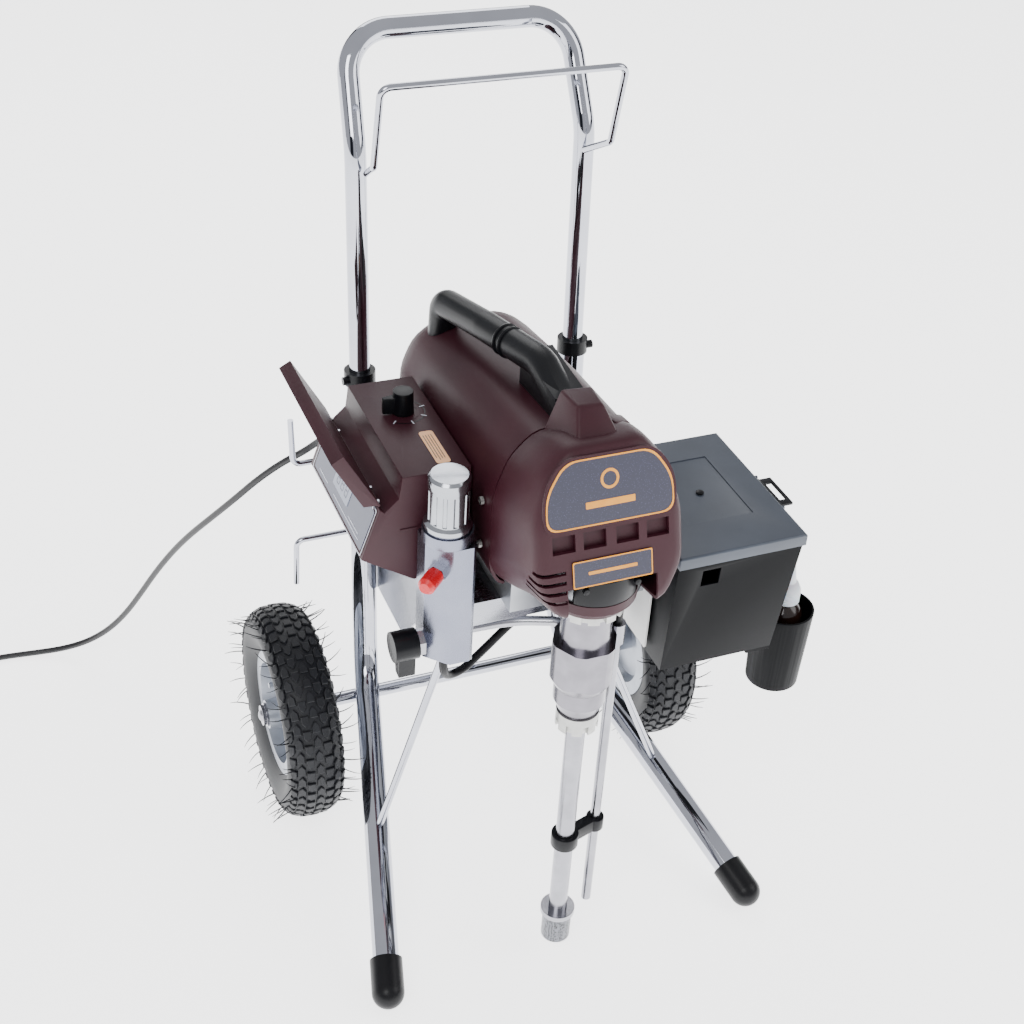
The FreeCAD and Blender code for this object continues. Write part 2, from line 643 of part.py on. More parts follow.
def pressure_knob():
    """Pointer knob with its spindle into the potentiometer."""
    body = cone(KNOB + V(0, 0, 0.4), Z_AXIS, 11, 10, 24)
    fin = extrude([KNOB + V(-21, -2.2, 2), KNOB + V(-21, 2.2, 2), KNOB + V(0, 6, 2), KNOB + V(0, -6, 2)],
                  V(0, 0, 17))
    spindle = disc(KNOB + V(0, 0, -14), Z_AXIS, 3.2, 16)
    return fuse(body, fin, spindle)


def potentiometer():
    return ring(KNOB + V(0, 0, -16), Z_AXIS, 10, 3.3, 13.4)


def circuit_board():
    board = box(-150, -110, -250, -120, 478, 480)
    parts = [box(-145, -125, -240, -215, 480, 500), box(-145, -118, -200, -170, 480, 494)]
    parts += [disc(V(-128, -150 + 14 * k, 480), Z_AXIS, 5.5, 22) for k in range(2)]
    return fuse(board, *parts)


def rocker_switch():
    """Mains rocker switch in the box's rear wall."""
    return extrude([V(-129.6, BOX_REAR_Y - 3, 494.6), V(-129.6, BOX_REAR_Y + 3.6, 495.2),
                    V(-129.6, BOX_REAR_Y + 2.2, 500), V(-129.6, BOX_REAR_Y + 2.4, 505.4),
                    V(-129.6, BOX_REAR_Y - 3, 505.4)], V(17.2, 0, 0))


# --- carry handle and badges --------------------------------------------------------------

def carry_handle():
    """Moulded grip over the hood with a flat foot at its front and a post at its rear."""
    path = [V(-54, -62, 606), V(-56, -72, 654), V(-44, -158, 670), V(-24, -250, 678), V(-20, -312, 654)]
    grip = bent_rod(path, [16, 60, 40], 15)
    front = extrude([V(-35, -225, 640), V(-35, -225, 680), V(-35, -308, 674), V(-35, -318, 646)], V(32, 0, 0))
    body = fuse(grip, front)
    return body.cut(filled_rear_hood()).cut(front_cover()).cut(box(-300, 300, -500, -318.4, 600, 800))


def filled_rear_hood():
    rings = [hood_section(y, *corners) for y, *corners in REAR_SECTIONS]
    return Part.makeLoft(rings, True, True)


def front_plate(half_width, low_z, high_z, thickness, corner):
    """Badge plate on the leaning front face."""
    def on_face(x, z, lift):
        return V(DRIVE_X + x, FACE_Y - lift + FACE_LEAN * (z - 600), z)
    outline = [(-half_width, low_z), (half_width, low_z), (half_width - 4, high_z - corner),
               (half_width - corner - 4, high_z), (corner + 4 - half_width, high_z),
               (4 - half_width, high_z - corner)]
    near = Part.makePolygon([on_face(x, z, 0.05) for x, z in outline + outline[:1]])
    far = Part.makePolygon([on_face(x, z, thickness) for x, z in outline + outline[:1]])
    return Part.makeLoft([near, far], True, True)


# --- toolbox ------------------------------------------------------------------------------

def tray_solid(inset, floor_z):
    def rect(x0, x1, y0, y1, z):
        return Part.makePolygon([V(x0, y0, z), V(x1, y0, z), V(x1, y1, z), V(x0, y1, z), V(x0, y0, z)])
    i = inset
    low = rect(TRAY_X0 + i, TRAY_X1 - 10 - i, TRAY_Y0 + 10 + i, TRAY_Y1 - 10 - i, floor_z)
    high = rect(TRAY_X0 + i, TRAY_X1 - i, TRAY_Y0 + i, TRAY_Y1 - i, TRAY_Z1)
    return Part.makeLoft([low, high], True, True)


def toolbox_tray():
    tray = tray_solid(0, TRAY_Z0).cut(tray_solid(2.5, TRAY_Z0 + 2.5))
    tray = tray.cut(box(114, 134, TRAY_Y0 - 5, TRAY_Y0 + 12, 462, 482))
    nib = box(TRAY_X1 - 2, TRAY_X1 + 5, -284, -276, 485.5, 489)
    return fuse(tray, nib)


def toolbox_lid():
    x0, x1, y0, y1 = TRAY_X0, TRAY_X1 + 2.6, TRAY_Y0 - 2, TRAY_Y1 + 2
    lid = box(x0, x1, y0, y1, TRAY_Z1 + 0.4, 504)
    lid = lid.cut(box(x0 + 2.5, x1 - 2.5, y0 + 2.5, y1 - 2.5, TRAY_Z1, 501))
    lid = lid.makeFillet(2.5, [e for e in lid.Edges if e.BoundBox.ZMin > 503.9])
    lid = lid.cut(box(118, 192, -314, -207, 502.8, 506))
    for y in (-345, -205):
        lid = lid.fuse(ring(V(TRAY_HINGE_X, y, 494), Y_AXIS, 2.9, 1.35, 20)).fuse(
            box(TRAY_HINGE_X, x0 + 1, y, y + 20, 494 + 1.4, 496.9))
    return lid.fuse(latch_pin()).removeSplitter()


def lid_hinge_pins():
    """Hinge pins and their ears on the tray's left wall."""
    pins = []
    for y in (-345, -205):
        pin = disc(V(TRAY_HINGE_X, y - 4, 494), Y_AXIS, 1.3, 28)
        for ear_y in (y - 4, y + 21):
            pin = pin.fuse(box(TRAY_HINGE_X - 2.4, TRAY_X0 - 0.05, ear_y, ear_y + 3, 480, 494))
            pin = pin.fuse(disc(V(TRAY_HINGE_X, ear_y, 494), Y_AXIS, 2.4, 3))
        pins.append(pin.removeSplitter())
    return pins


LATCH_HINGE = V(TRAY_X1 + 5.6, 0, 497)


def toolbox_latch():
    """Loop latch on the lid's right edge, swung out level."""
    x, z = LATCH_HINGE.x, LATCH_HINGE.z
    loop = box(x - 1.5, x + 15, -304, -256, z - 1.5, z + 1.5).cut(box(x + 4, x + 12, -296, -264, z - 5, z + 5))
    barrel = disc(V(x, -304, z), Y_AXIS, 2.4, 48)
    return fuse(loop, barrel).cut(disc(V(x, -310, z), Y_AXIS, 1.35, 60))


def latch_pin():
    x, z = LATCH_HINGE.x, LATCH_HINGE.z
    pin = disc(V(x, -310, z), Y_AXIS, 1.3, 60)
    for y in (-310, -253):
        pin = pin.fuse(box(TRAY_X1 + 2.6, x + 2, y, y + 3, z - 2.5, z + 2.5))
    return pin.removeSplitter()


def toolbox_bracket():
    """Folded sheet that hangs the toolbox from the cradle's right side."""
    arm = box(49, 84, -306, -262, 440, 443)
    drop = box(81, 84, -322, -262, 362, 443)
    web = box(49, 52, -306, -262, 412, 443)
    return fuse(arm, drop, web)


def cup_holder():
    cup = cone(V(CUP.x, CUP.y, 270), Z_AXIS, 28.5, 32.5, 97)
    rib = box(200, 232, CUP.y - 20, CUP.y + 20, 330, 364)
    cup = cup.fuse(rib).removeSplitter().cut(cone(V(CUP.x, CUP.y, 272.5), Z_AXIS, 26.3, 30.4, 100))
    return cup.cut(tray_solid(0, TRAY_Z0))


def oil_bottle():
    body = revolve([(0, 0), (18, 0), (20, 3), (20, 88), (17, 96), (9, 102), (9, 104), (0, 104)],
                   V(CUP.x, CUP.y, 273), Z_AXIS)
    return body


def bottle_spout():
    return revolve([(0, 0), (14.5, 0), (14.5, 16), (11, 22), (8, 24), (2.4, 58), (1.8, 62), (0, 62)],
                   V(CUP.x, CUP.y, 377.2), Z_AXIS)


# --- power cord ---------------------------------------------------------------------------

CORD_R = 3.75
COIL = V(-590, 339, 0)
COIL_MID_R = 38
CORD = [V(-160, -72.6, 500), V(-160, -47, 498), V(-163, -24, 487), V(-172, -7, 468), V(-187, 5, 449),
        V(-207, 17, 432), V(-232, 33, 404), V(-256, 54, 367), V(-278, 82, 327), V(-298, 113, 286),
        V(-315, 145, 242), V(-333, 176, 192), V(-350, 205, 140), V(-368, 231, 92), V(-390, 254, 52),
        V(-417, 273, 24), V(-448, 287, 9), V(-482, 296, 4), V(-518, 300, 4), V(-554, 301, 4),
        V(-588, 301, 4)]


def coil_solid():
    """Two layers of two turns side by side, as one ring."""
    reach = 2 * CORD_R + 0.1
    return ring(COIL, Z_AXIS, COIL_MID_R + reach, COIL_MID_R - reach, 2 * reach)


def cord_gland():
    """Moulded strain relief in the box's rear wall, tapering along the cord."""
    flange = disc(GLAND, Y_AXIS, 9, 3)
    sleeve = cone(GLAND + V(0, 3, 0), Y_AXIS, 7.5, 4.6, 21)
    plug_end = disc(GLAND - V(0, 4, 0), Y_AXIS, 5.8, 4)
    return fuse(flange, sleeve, plug_end)


def mains_plug():
    """Moulded two-pin plug lying on the coil's left side."""
    start = COIL + V(-COIL_MID_R, -32, 23.6)
    relief = cone(start, Y_AXIS, 4.2, 7.5, 22)
    body = extrude([start + V(-11, 22, -8), start + V(11, 22, -8), start + V(14, 46, -8),
                    start + V(-14, 46, -8)], V(0, 0, 17))
    pins = [disc(start + V(x, 46, 0), Y_AXIS, 2.3, 19) for x in (-9.5, 9.5)]
    return fuse(relief, body, *pins)


# --- fasteners ------------------------------------------------------------------------------

def cap_screws(spots, axis, radius, height):
    """Group of socket-head screws, each standing on its spot along axis."""
    screws = []
    for spot in spots:
        screw = disc(spot, axis, radius, height).cut(
            hexagon(spot + axis * (height * 0.45), axis, radius, height))
        screws.append(screw)
    return screws


def build_cart():
    export("axle_tube", axle())
    export("frame_tube_left", side_tube(-1))
    export("frame_tube_right", side_tube(1))
    export("foot_caps", foot_cap(-1), foot_cap(1))
    export("clamp_collars", collar(-1), collar(1))
    export("push_handle", handle())
    export("hose_rack", hose_rack())
    export("cord_hooks", cord_hook(444, 500), cord_hook(345, 284))
    export("braces", strut(-1), strut(1))
    export("drive_bracket", drive_bracket())
    caps = []
    for side, name in ((-1, "left"), (1, "right")):
        tyre, rim, cap = wheel_parts(side)
        export("tyre_" + name, tyre)
        export("rim_" + name, rim)
        caps.append(cap)
    export("axle_caps", *caps)


def build_drive():
    export("rear_hood", rear_hood())
    export("front_cover", front_cover())
    stator, rotor, fan = motor()
    export("motor_stator", stator)
    export("motor_rotor", rotor, fan, 
           gear(V(DRIVE_X, -222, MOTOR_Z), PINION_PITCH_R, 5, PINION_TEETH, 24, 0))
    export("drive_housing", drive_housing())
    export("crankshaft", crankshaft(), gear(V(DRIVE_X, -224, CRANK_Z), GEAR_PITCH_R, 10, GEAR_TEETH, 18, 0.5))
    export("crank_yoke", yoke())
    export("pump_rod", pump_rod())
    jam_nut, cylinder, packing, housing = pump_parts()
    export("pump_cylinder", cylinder)
    export("pump_seals", packing, intake_seat())
    export("intake_housing", housing)
    export("intake_ball", intake_ball())
    export("rod_cover", rod_cover())
    nut, tube, basket, drain, ferrule, clip = siphon_parts()
    export("pump_nuts", jam_nut, nut)
    export("siphon_tube", tube)
    export("strainer", basket)
    export("drain_tube", drain, ferrule)
    export("tube_clip", clip)
    export("drain_hose", drain_hose())
    export("pressure_tube", pressure_tube())
    export("carry_handle", carry_handle())
    export("badges", front_plate(62, 604, 662, 1.2, 16), front_plate(38, 548.5, 571, 1.2, 1.5))


def build_manifold():
    export("manifold_block", manifold_body())
    export("filter_cap", filter_cap())
    export("filter_element", filter_element())
    export("manifold_fittings", outlet_nipple(), prime_valve_body(), transducer())
    export("outlet_cap", outlet_cap())
    export("prime_valve_knob", prime_valve_knob())


def build_control_box():
    export("control_box", control_box())
    export("control_lid", box_lid())
    export("pressure_knob", pressure_knob())
    export("circuit_board", circuit_board(), potentiometer())
    export("switch_rocker", rocker_switch())


def build_screws():
    """Socket screws: manifold to cradle, housing to cradle, tube clip, hood sides."""
    groups = cap_screws([V(-105.5, y, 440) for y in (-302, -286)], X_AXIS, 4.5, 5)
    groups += cap_screws([V(DRIVE_X + x, y, 455) for x in (-45, 45) for y in (-298, -220)],
                         V(0, 0, -1), 4.5, 5)
    groups += cap_screws([V(DRIVE_X + 79, -300, z) for z in (520, 570)], X_AXIS, 4, 3.5)
    groups += cap_screws([V(DRIVE_X - 79, -300, z) for z in (520, 570)], V(-1, 0, 0), 4, 3.5)
    export("socket_screws", *groups)


def build_toolbox():
    export("toolbox_tray", toolbox_tray())
    export("toolbox_lid", toolbox_lid())
    export("hinge_pins", *lid_hinge_pins(), *lid_pins())
    export("toolbox_latch", toolbox_latch())
    export("toolbox_bracket", toolbox_bracket())
    export("cup_holder", cup_holder())
    export("oil_bottle", oil_bottle(), bottle_spout())


def build_cord():
    tube = hose(CORD, CORD_R)
    coil = coil_solid()
    export("cord_gland", cord_gland())
    export("power_cord", tube.cut(coil))
    export("cord_coil", coil)
    export("mains_plug", mains_plug())
    radii = hose_radii(CORD)
    path = bent_wire(CORD, radii)
    print("drain hose radii", [round(r) for r in hose_radii(DRAIN_HOSE)])
    print("cord radii", [round(r) for r in radii], "route length", round(path.Length),
          "volume ratio", round(tube.Volume / (path.Length * math.pi * CORD_R ** 2), 4))


NODES = {}
os.makedirs("parts", exist_ok=True)
build_cart()
build_drive()
build_manifold()
build_control_box()
build_toolbox()
build_screws()
build_cord()
total = FreeCAD.BoundBox()
for name, shape in NODES.items():
    if name not in ("power_cord", "cord_coil", "mains_plug"):
        total.add(shape.BoundBox)
print(len(NODES), "nodes; box", total)
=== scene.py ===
# Electric airless paint sprayer on an upright two-wheeled cart.
import bmesh
import bpy
import json
import math
from mathutils import Matrix, Vector

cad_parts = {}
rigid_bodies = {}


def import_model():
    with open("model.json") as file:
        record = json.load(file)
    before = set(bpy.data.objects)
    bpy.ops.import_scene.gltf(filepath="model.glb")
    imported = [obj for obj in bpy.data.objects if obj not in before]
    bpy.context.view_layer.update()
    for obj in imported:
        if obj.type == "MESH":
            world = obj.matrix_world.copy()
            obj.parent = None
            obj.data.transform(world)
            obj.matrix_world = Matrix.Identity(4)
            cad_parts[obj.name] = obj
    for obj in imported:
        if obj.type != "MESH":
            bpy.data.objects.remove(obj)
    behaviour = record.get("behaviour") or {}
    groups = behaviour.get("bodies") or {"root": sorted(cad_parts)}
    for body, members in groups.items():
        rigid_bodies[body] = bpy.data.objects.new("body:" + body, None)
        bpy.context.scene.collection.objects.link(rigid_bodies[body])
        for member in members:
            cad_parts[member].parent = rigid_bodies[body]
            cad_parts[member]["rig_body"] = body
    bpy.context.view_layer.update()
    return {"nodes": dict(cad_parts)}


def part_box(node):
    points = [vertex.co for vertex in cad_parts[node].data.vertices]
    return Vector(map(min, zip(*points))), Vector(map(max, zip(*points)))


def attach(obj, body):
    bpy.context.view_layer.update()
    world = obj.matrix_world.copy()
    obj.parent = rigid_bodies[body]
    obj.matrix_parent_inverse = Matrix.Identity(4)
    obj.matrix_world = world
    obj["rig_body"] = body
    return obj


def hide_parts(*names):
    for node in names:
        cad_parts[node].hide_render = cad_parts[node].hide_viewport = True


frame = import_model()
nodes = frame["nodes"]
MM = 0.001


# --- camera ----------------------------------------------------------------------------
# A 57 mm lens looks down on the machine from its front left, turned a little about its own axis.

AZIMUTH, ELEVATION, ROLL = math.radians(-23.791), math.radians(35.312), math.radians(3.674)
LENS_MM, SENSOR_MM = 56.87, 36.0
CAMERA_PLACE = Vector((-0.580246, -1.263340, 1.432716))

forward = Vector((-math.sin(AZIMUTH) * math.cos(ELEVATION), math.cos(AZIMUTH) * math.cos(ELEVATION),
                  -math.sin(ELEVATION)))
level = Vector((math.cos(AZIMUTH), math.sin(AZIMUTH), 0.0))
upright = level.cross(forward)
right = math.cos(ROLL) * level + math.sin(ROLL) * upright
above = math.cos(ROLL) * upright - math.sin(ROLL) * level
camera_data = bpy.data.cameras.new("camera")
camera_data.lens, camera_data.sensor_width = LENS_MM, SENSOR_MM
camera = bpy.data.objects.new("camera", camera_data)
camera_axes = Matrix((right, above, -forward)).transposed()
camera.matrix_world = Matrix.Translation(CAMERA_PLACE) @ camera_axes.to_4x4()
bpy.context.scene.collection.objects.link(camera)
bpy.context.scene.camera = camera


# --- chromed steel tubes ---------------------------------------------------------------
# Side tubes, handle, hose rack, hooks, braces and axle: drawn steel tube and wire, bent cold,
# welded and bright chrome plated. The plating is smooth, with faint handling smears.

def linear(hex_code):
    """sRGB hex value as linear RGBA."""
    channels = [int(hex_code[i:i + 2], 16) / 255 for i in (1, 3, 5)]
    return [c / 12.92 if c <= 0.04045 else ((c + 0.055) / 1.055) ** 2.4 for c in channels] + [1.0]


def add(tree, kind, settings=None, links=None):
    """Adds one shader or geometry node with its settings (properties or sockets) and links."""
    node = tree.nodes.new(kind)
    for key, value in (settings or {}).items():
        if isinstance(key, str) and hasattr(node, key):
            setattr(node, key, value)
    for key, value in (settings or {}).items():
        if not (isinstance(key, str) and hasattr(node, key)):
            node.inputs[key].default_value = value
    for key, source in (links or {}).items():
        tree.links.new(source, node.inputs[key])
    return node


def new_material(name, settings):
    """Material with one Principled shader; returns it, its tree, the shader and Object coordinates."""
    material = bpy.data.materials.new(name)
    material.use_nodes = True
    tree = material.node_tree
    tree.nodes.clear()
    shader = add(tree, "ShaderNodeBsdfPrincipled", settings)
    add(tree, "ShaderNodeOutputMaterial", links={"Surface": shader.outputs[0]})
    return material, tree, shader, add(tree, "ShaderNodeTexCoord").outputs["Object"]


def surface(name, dark, light, rough, patch_mm, grain_mm, depth_mm, stretch=(1, 1, 1), **sockets):
    """Finish whose colour drifts between two shades in patches, with a fine grain in gloss and relief.

    stretch scales the grain's coordinates, so that brushed and turned metal runs along one way."""
    material, tree, shader, coords = new_material(name, {k.replace("_", " "): v for k, v in sockets.items()})
    patches = add(tree, "ShaderNodeTexNoise", {"Scale": 1000 / patch_mm, "Detail": 3.0}, {"Vector": coords})
    shades = add(tree, "ShaderNodeMix", {"data_type": "RGBA", 6: linear(dark), 7: linear(light)},
                 {0: patches.outputs[0]})
    along = add(tree, "ShaderNodeMapping", {"Scale": stretch}, {"Vector": coords})
    grain = add(tree, "ShaderNodeTexNoise", {"Scale": 1000 / grain_mm, "Detail": 2.0},
                {"Vector": along.outputs[0]})
    gloss = add(tree, "ShaderNodeMapRange", {"To Min": rough[0], "To Max": rough[1]},
                {"Value": grain.outputs[0]})
    relief = add(tree, "ShaderNodeBump", {"Strength": 0.6, "Distance": depth_mm * MM},
                 {"Height": grain.outputs[0]})
    tree.links.new(shades.outputs[2], shader.inputs["Base Color"])
    tree.links.new(gloss.outputs[0], shader.inputs["Roughness"])
    tree.links.new(relief.outputs[0], shader.inputs["Normal"])
    return material


def paint(material, *names):
    """Gives whole pieces one material; a name may be a CAD node's."""
    for name in names:
        piece = nodes[name] if isinstance(name, str) else name
        piece.data.materials.clear()
        piece.data.materials.append(material)


def placed(name, data):
    """New object at the origin, in the scene."""
    item = bpy.data.objects.new(name, data)
    bpy.context.scene.collection.objects.link(item)
    return item


def mesh_piece(name, mesh, material, body="root", smooth_deg=35):
    """Makes a finished mesh a piece: shaded smooth up to an angle, painted, and riding on a body."""
    piece = placed(name, mesh)
    mesh.shade_smooth()
    mesh.set_sharp_from_angle(angle=math.radians(smooth_deg))
    paint(material, piece)
    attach(piece, body)
    return piece


def mesh_of(name, shape):
    """Mesh made from a bmesh, which is then freed."""
    mesh = bpy.data.meshes.new(name)
    shape.to_mesh(mesh)
    shape.free()
    return mesh


def baked(piece):
    """The evaluated mesh of an object, which is then removed."""
    bpy.context.view_layer.update()
    mesh = bpy.data.meshes.new_from_object(piece.evaluated_get(bpy.context.evaluated_depsgraph_get()))
    bpy.data.objects.remove(piece)
    return mesh


def softened(node, material, edge_mm, segments=3, angle=28):
    """Copy of a CAD node with its doubles merged and its edges rounded, which stands for the node."""
    shape = bmesh.new()
    shape.from_mesh(nodes[node].data)
    bmesh.ops.remove_doubles(shape, verts=shape.verts, dist=2e-6)
    bmesh.ops.dissolve_limit(shape, angle_limit=math.radians(1.0), verts=shape.verts, edges=shape.edges)
    mesh = mesh_of(node + "_finished", shape)
    rough = placed(node + "_rough", mesh)
    bevel = rough.modifiers.new("edges", "BEVEL")
    bevel.width, bevel.segments, bevel.limit_method = edge_mm * MM, segments, "ANGLE"
    bevel.angle_limit, bevel.use_clamp_overlap = math.radians(angle), True
    piece = mesh_piece(node + "_finished", baked(rough), material, nodes[node]["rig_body"])
    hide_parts(node)
    return piece


chrome = surface("bright_chrome_plate", "#a5a7b0", "#c3c5ce", (0.03, 0.09), 60, 14, 0.01, Metallic=1.0)
paint(chrome, "frame_tube_left", "frame_tube_right", "push_handle", "hose_rack", "cord_hooks", "braces",
      "axle_tube")


# --- bright steel sheet ----------------------------------------------------------------
# The cradle and the toolbox bracket: cold-rolled sheet, folded; the cradle is zinc plated, with faint
# rolling streaks along its length, and the toolbox bracket is powder coated white.

zinc_sheet = surface("zinc_plated_sheet", "#8d8f97", "#b4b6bd", (0.16, 0.34), 45, 5, 0.02, (1, 12, 12),
                     Metallic=1.0)
softened("drive_bracket", zinc_sheet, 0.6)
softened("toolbox_bracket", surface("white_powder_coat", "#e4e4e2", "#f1f1ef", (0.35, 0.5), 30, 1.2, 0.02),
         0.6)


# --- rubber feet and clamp collars -----------------------------------------------------
# Feet are dipped black rubber caps; the collars are moulded nylon rings.

black_rubber = surface("black_moulded_rubber", "#08080a", "#121216", (0.3, 0.42), 25, 0.9, 0.03,
                       Specular_IOR_Level=0.22)
black_plastic = surface("black_satin_plastic", "#07080a", "#101116", (0.28, 0.4), 30, 0.6, 0.02,
                        Specular_IOR_Level=0.2)
paint(black_rubber, "foot_caps", "cord_gland")
paint(black_plastic, "clamp_collars", "switch_rocker")


# --- tyres ------------------------------------------------------------------------------
# Pneumatic tyres of black rubber, moulded with rows of scale-shaped blocks; the mould's vent
# whiskers still stand on their shoulders.

tyre_rubber = surface("tyre_rubber", "#0c0d11", "#191b21", (0.42, 0.6), 18, 0.8, 0.04,
                      Specular_IOR_Level=0.35)


def tyre_profile():
    """Section of the tyre carcass as (radius, across), from one bead round to the other."""
    points = [(74, -21), (82, -26.5), (94, -31), (104, -32.2), (113, -29.2), (119.5, -22), (123.2, -11),
              (124.2, 0)]
    return [(r * MM, x * MM) for r, x in points + [(r, -x) for r, x in reversed(points[:-1])]]


def lathe(profile, steps, closed=True):
    """Mesh turned about the X axis from (radius, across) pairs."""
    shape = bmesh.new()
    rings = []
    for k in range(steps):
        turn = 2 * math.pi * k / steps
        rings.append([shape.verts.new((x, r * math.cos(turn), r * math.sin(turn))) for r, x in profile])
    count = len(profile)
    for k in range(steps):
        here, after = rings[k], rings[(k + 1) % steps]
        for j in range(count if closed else count - 1):
            shape.faces.new((here[j], here[(j + 1) % count], after[(j + 1) % count], after[j]))
    bmesh.ops.recalc_face_normals(shape, faces=shape.faces)
    return shape


def tread_part(flip):
    """One raised scale of the tread, pointed along the tread and standing on its own origin."""
    outline = [(-4.7, -6.3), (4.7, -6.3), (4.3, 2.2), (0.0, 7.5), (-4.3, 2.2)]
    shape = bmesh.new()
    rows = [[shape.verts.new(Vector((u * k, v * k * flip, lift)) * MM) for u, v in outline]
            for lift, k in ((-2.1, 1.0), (1.7, 0.94), (2.3, 0.8))]
    for low, high in zip(rows, rows[1:]):
        for j in range(5):
            shape.faces.new((low[j], low[(j + 1) % 5], high[(j + 1) % 5], high[j]))
    shape.faces.new(rows[-1])
    shape.faces.new(list(reversed(rows[0])))
    bmesh.ops.recalc_face_normals(shape, faces=shape.faces)
    return shape


def whisker_part():
    """A vent whisker: a thin rubber hair that tapers and leans."""
    shape = bmesh.new()
    sections = ((0.85, 0, -1), (0.75, 1, 7), (0.6, 3, 14), (0.3, 6, 20))
    rows = [[shape.verts.new(Vector((r * math.cos(a), r * math.sin(a) + bend, z)) * MM)
             for a in (0, 2.09, 4.19)] for r, bend, z in sections]
    for low, high in zip(rows, rows[1:]):
        for j in range(3):
            shape.faces.new((low[j], low[(j + 1) % 3], high[(j + 1) % 3], high[j]))
    shape.faces.new(rows[-1])
    shape.faces.new(list(reversed(rows[0])))
    return shape


def part_object(name, shape):
    """Unlisted object that a node tree copies; it is deleted once the copies are baked."""
    mesh = mesh_of(name, shape)
    part = placed(name, mesh)
    return part


def ring_tree():
    """Geometry Nodes tree that stands copies of a part round the X axis and joins them on."""
    tree = bpy.data.node_groups.new("parts_round_an_axle", "GeometryNodeTree")
    sockets = {}
    for name, kind in (("Geometry", "Geometry"), ("Part", "Object"), ("Finish", "Material"), ("Count", "Int"),
                       ("Radius", "Float"), ("Across", "Float"), ("Phase", "Float"), ("Tilt", "Float"),
                       ("Unevenness", "Float"), ("Seed", "Int")):
        socket = tree.interface.new_socket(name, in_out="INPUT", socket_type="NodeSocket" + kind)
        sockets[name] = socket.identifier
    tree.interface.new_socket("Geometry", in_out="OUTPUT", socket_type="NodeSocketGeometry")
    given = tree.nodes.new("NodeGroupInput").outputs

    def calc(operation, a, b=None):
        node = add(tree, "ShaderNodeMath", {"operation": operation})
        for key, value in ((0, a), (1, b)):
            if isinstance(value, (int, float)):
                node.inputs[key].default_value = value
            elif value is not None:
                tree.links.new(value, node.inputs[key])
        return node.outputs[0]

    def chance(offset):
        seed = calc("ADD", given["Seed"], offset)
        node = add(tree, "FunctionNodeRandomValue", {"data_type": "FLOAT", 2: -1.0, 3: 1.0}, {8: seed})
        return calc("MULTIPLY", node.outputs[1], given["Unevenness"])

    index = add(tree, "GeometryNodeInputIndex").outputs[0]
    station = calc("ADD", index, calc("ADD", given["Phase"], chance(1)))
    angle = calc("MULTIPLY", calc("DIVIDE", station, given["Count"]), 2 * math.pi)
    place = add(tree, "ShaderNodeCombineXYZ", links={
        "X": given["Across"], "Y": calc("MULTIPLY", calc("COSINE", angle), given["Radius"]),
        "Z": calc("MULTIPLY", calc("SINE", angle), given["Radius"])})
    stations = add(tree, "GeometryNodePoints", links={"Count": given["Count"], "Position": place.outputs[0]})
    part = add(tree, "GeometryNodeObjectInfo", links={"Object": given["Part"]})
    facing = add(tree, "ShaderNodeCombineXYZ", links={"X": calc("SUBTRACT", angle, math.pi / 2)})
    size = calc("ADD", calc("MULTIPLY", chance(2), 0.6), 1.0)
    copies = add(tree, "GeometryNodeInstanceOnPoints", links={
        "Points": stations.outputs[0], "Instance": part.outputs["Geometry"], "Rotation": facing.outputs[0],
        "Scale": size})
    lean = add(tree, "ShaderNodeCombineXYZ", links={
        "X": chance(3), "Y": calc("ADD", given["Tilt"], calc("MULTIPLY", chance(4), 0.5)),
        "Z": calc("MULTIPLY", chance(5), 2.0)})
    turned = add(tree, "GeometryNodeRotateInstances", {"Local Space": True},
                 {"Instances": copies.outputs[0], "Rotation": lean.outputs[0]})
    solid = add(tree, "GeometryNodeRealizeInstances", links={0: turned.outputs[0]})
    painted = add(tree, "GeometryNodeSetMaterial", links={"Geometry": solid.outputs[0],
                                                          "Material": given["Finish"]})
    joined = add(tree, "GeometryNodeJoinGeometry")
    tree.links.new(painted.outputs[0], joined.inputs[0])
    tree.links.new(given["Geometry"], joined.inputs[0])
    add(tree, "NodeGroupOutput", links={0: joined.outputs[0]})
    return tree, sockets


RING_TREE, RING_SOCKETS = ring_tree()


def add_ring(piece, **values):
    """Adds one ring of parts to an object under construction."""
    ring = piece.modifiers.new("ring", "NODES")
    ring.node_group = RING_TREE
    for name, value in values.items():
        ring[RING_SOCKETS[name]] = value


def tyre_mesh(side):
    """Carcass with seven rows of tread scales and four of whiskers, in its place on the axle."""
    carcass = part_object("tyre_rough_" + side, lathe(tyre_profile(), 96))
    carcass.data.materials.append(tyre_rubber)
    parts = [part_object("tread_part", tread_part(1)), part_object("tread_part_turned", tread_part(-1)),
             part_object("whisker_part", whisker_part())]
    rows = [(0, 124.0, 0, 0, 0), (10.5, 123.2, 0.07, 0.5, 1), (-10.5, 123.2, -0.07, 0.5, 1),
            (20, 120.2, 0.42, 0, 0), (-20, 120.2, -0.42, 0, 0), (27.6, 114.0, 0.95, 0.5, 1),
            (-27.6, 114.0, -0.95, 0.5, 1)]
    for across, radius, tilt, phase, kind in rows:
        add_ring(carcass, Part=parts[kind], Finish=tyre_rubber, Count=46, Radius=radius * MM,
                 Across=across * MM, Phase=float(phase), Tilt=float(tilt), Unevenness=0.0, Seed=0)
    whiskers = ((30.4, 111, 1.15, 38), (-30.4, 111, -1.15, 38), (25, 116, 1.36, 24), (-25, 116, -1.36, 24))
    for index, (across, radius, tilt, count) in enumerate(whiskers):
        add_ring(carcass, Part=parts[2], Finish=tyre_rubber, Count=count, Radius=radius * MM,
                 Across=across * MM, Phase=0.25, Tilt=tilt, Unevenness=0.34,
                 Seed=11 * index + (side == "right"))
    mesh = baked(carcass)
    for part in parts:
        bpy.data.objects.remove(part)
    mesh.transform(Matrix.Translation(wheel_centre(side)))
    return mesh


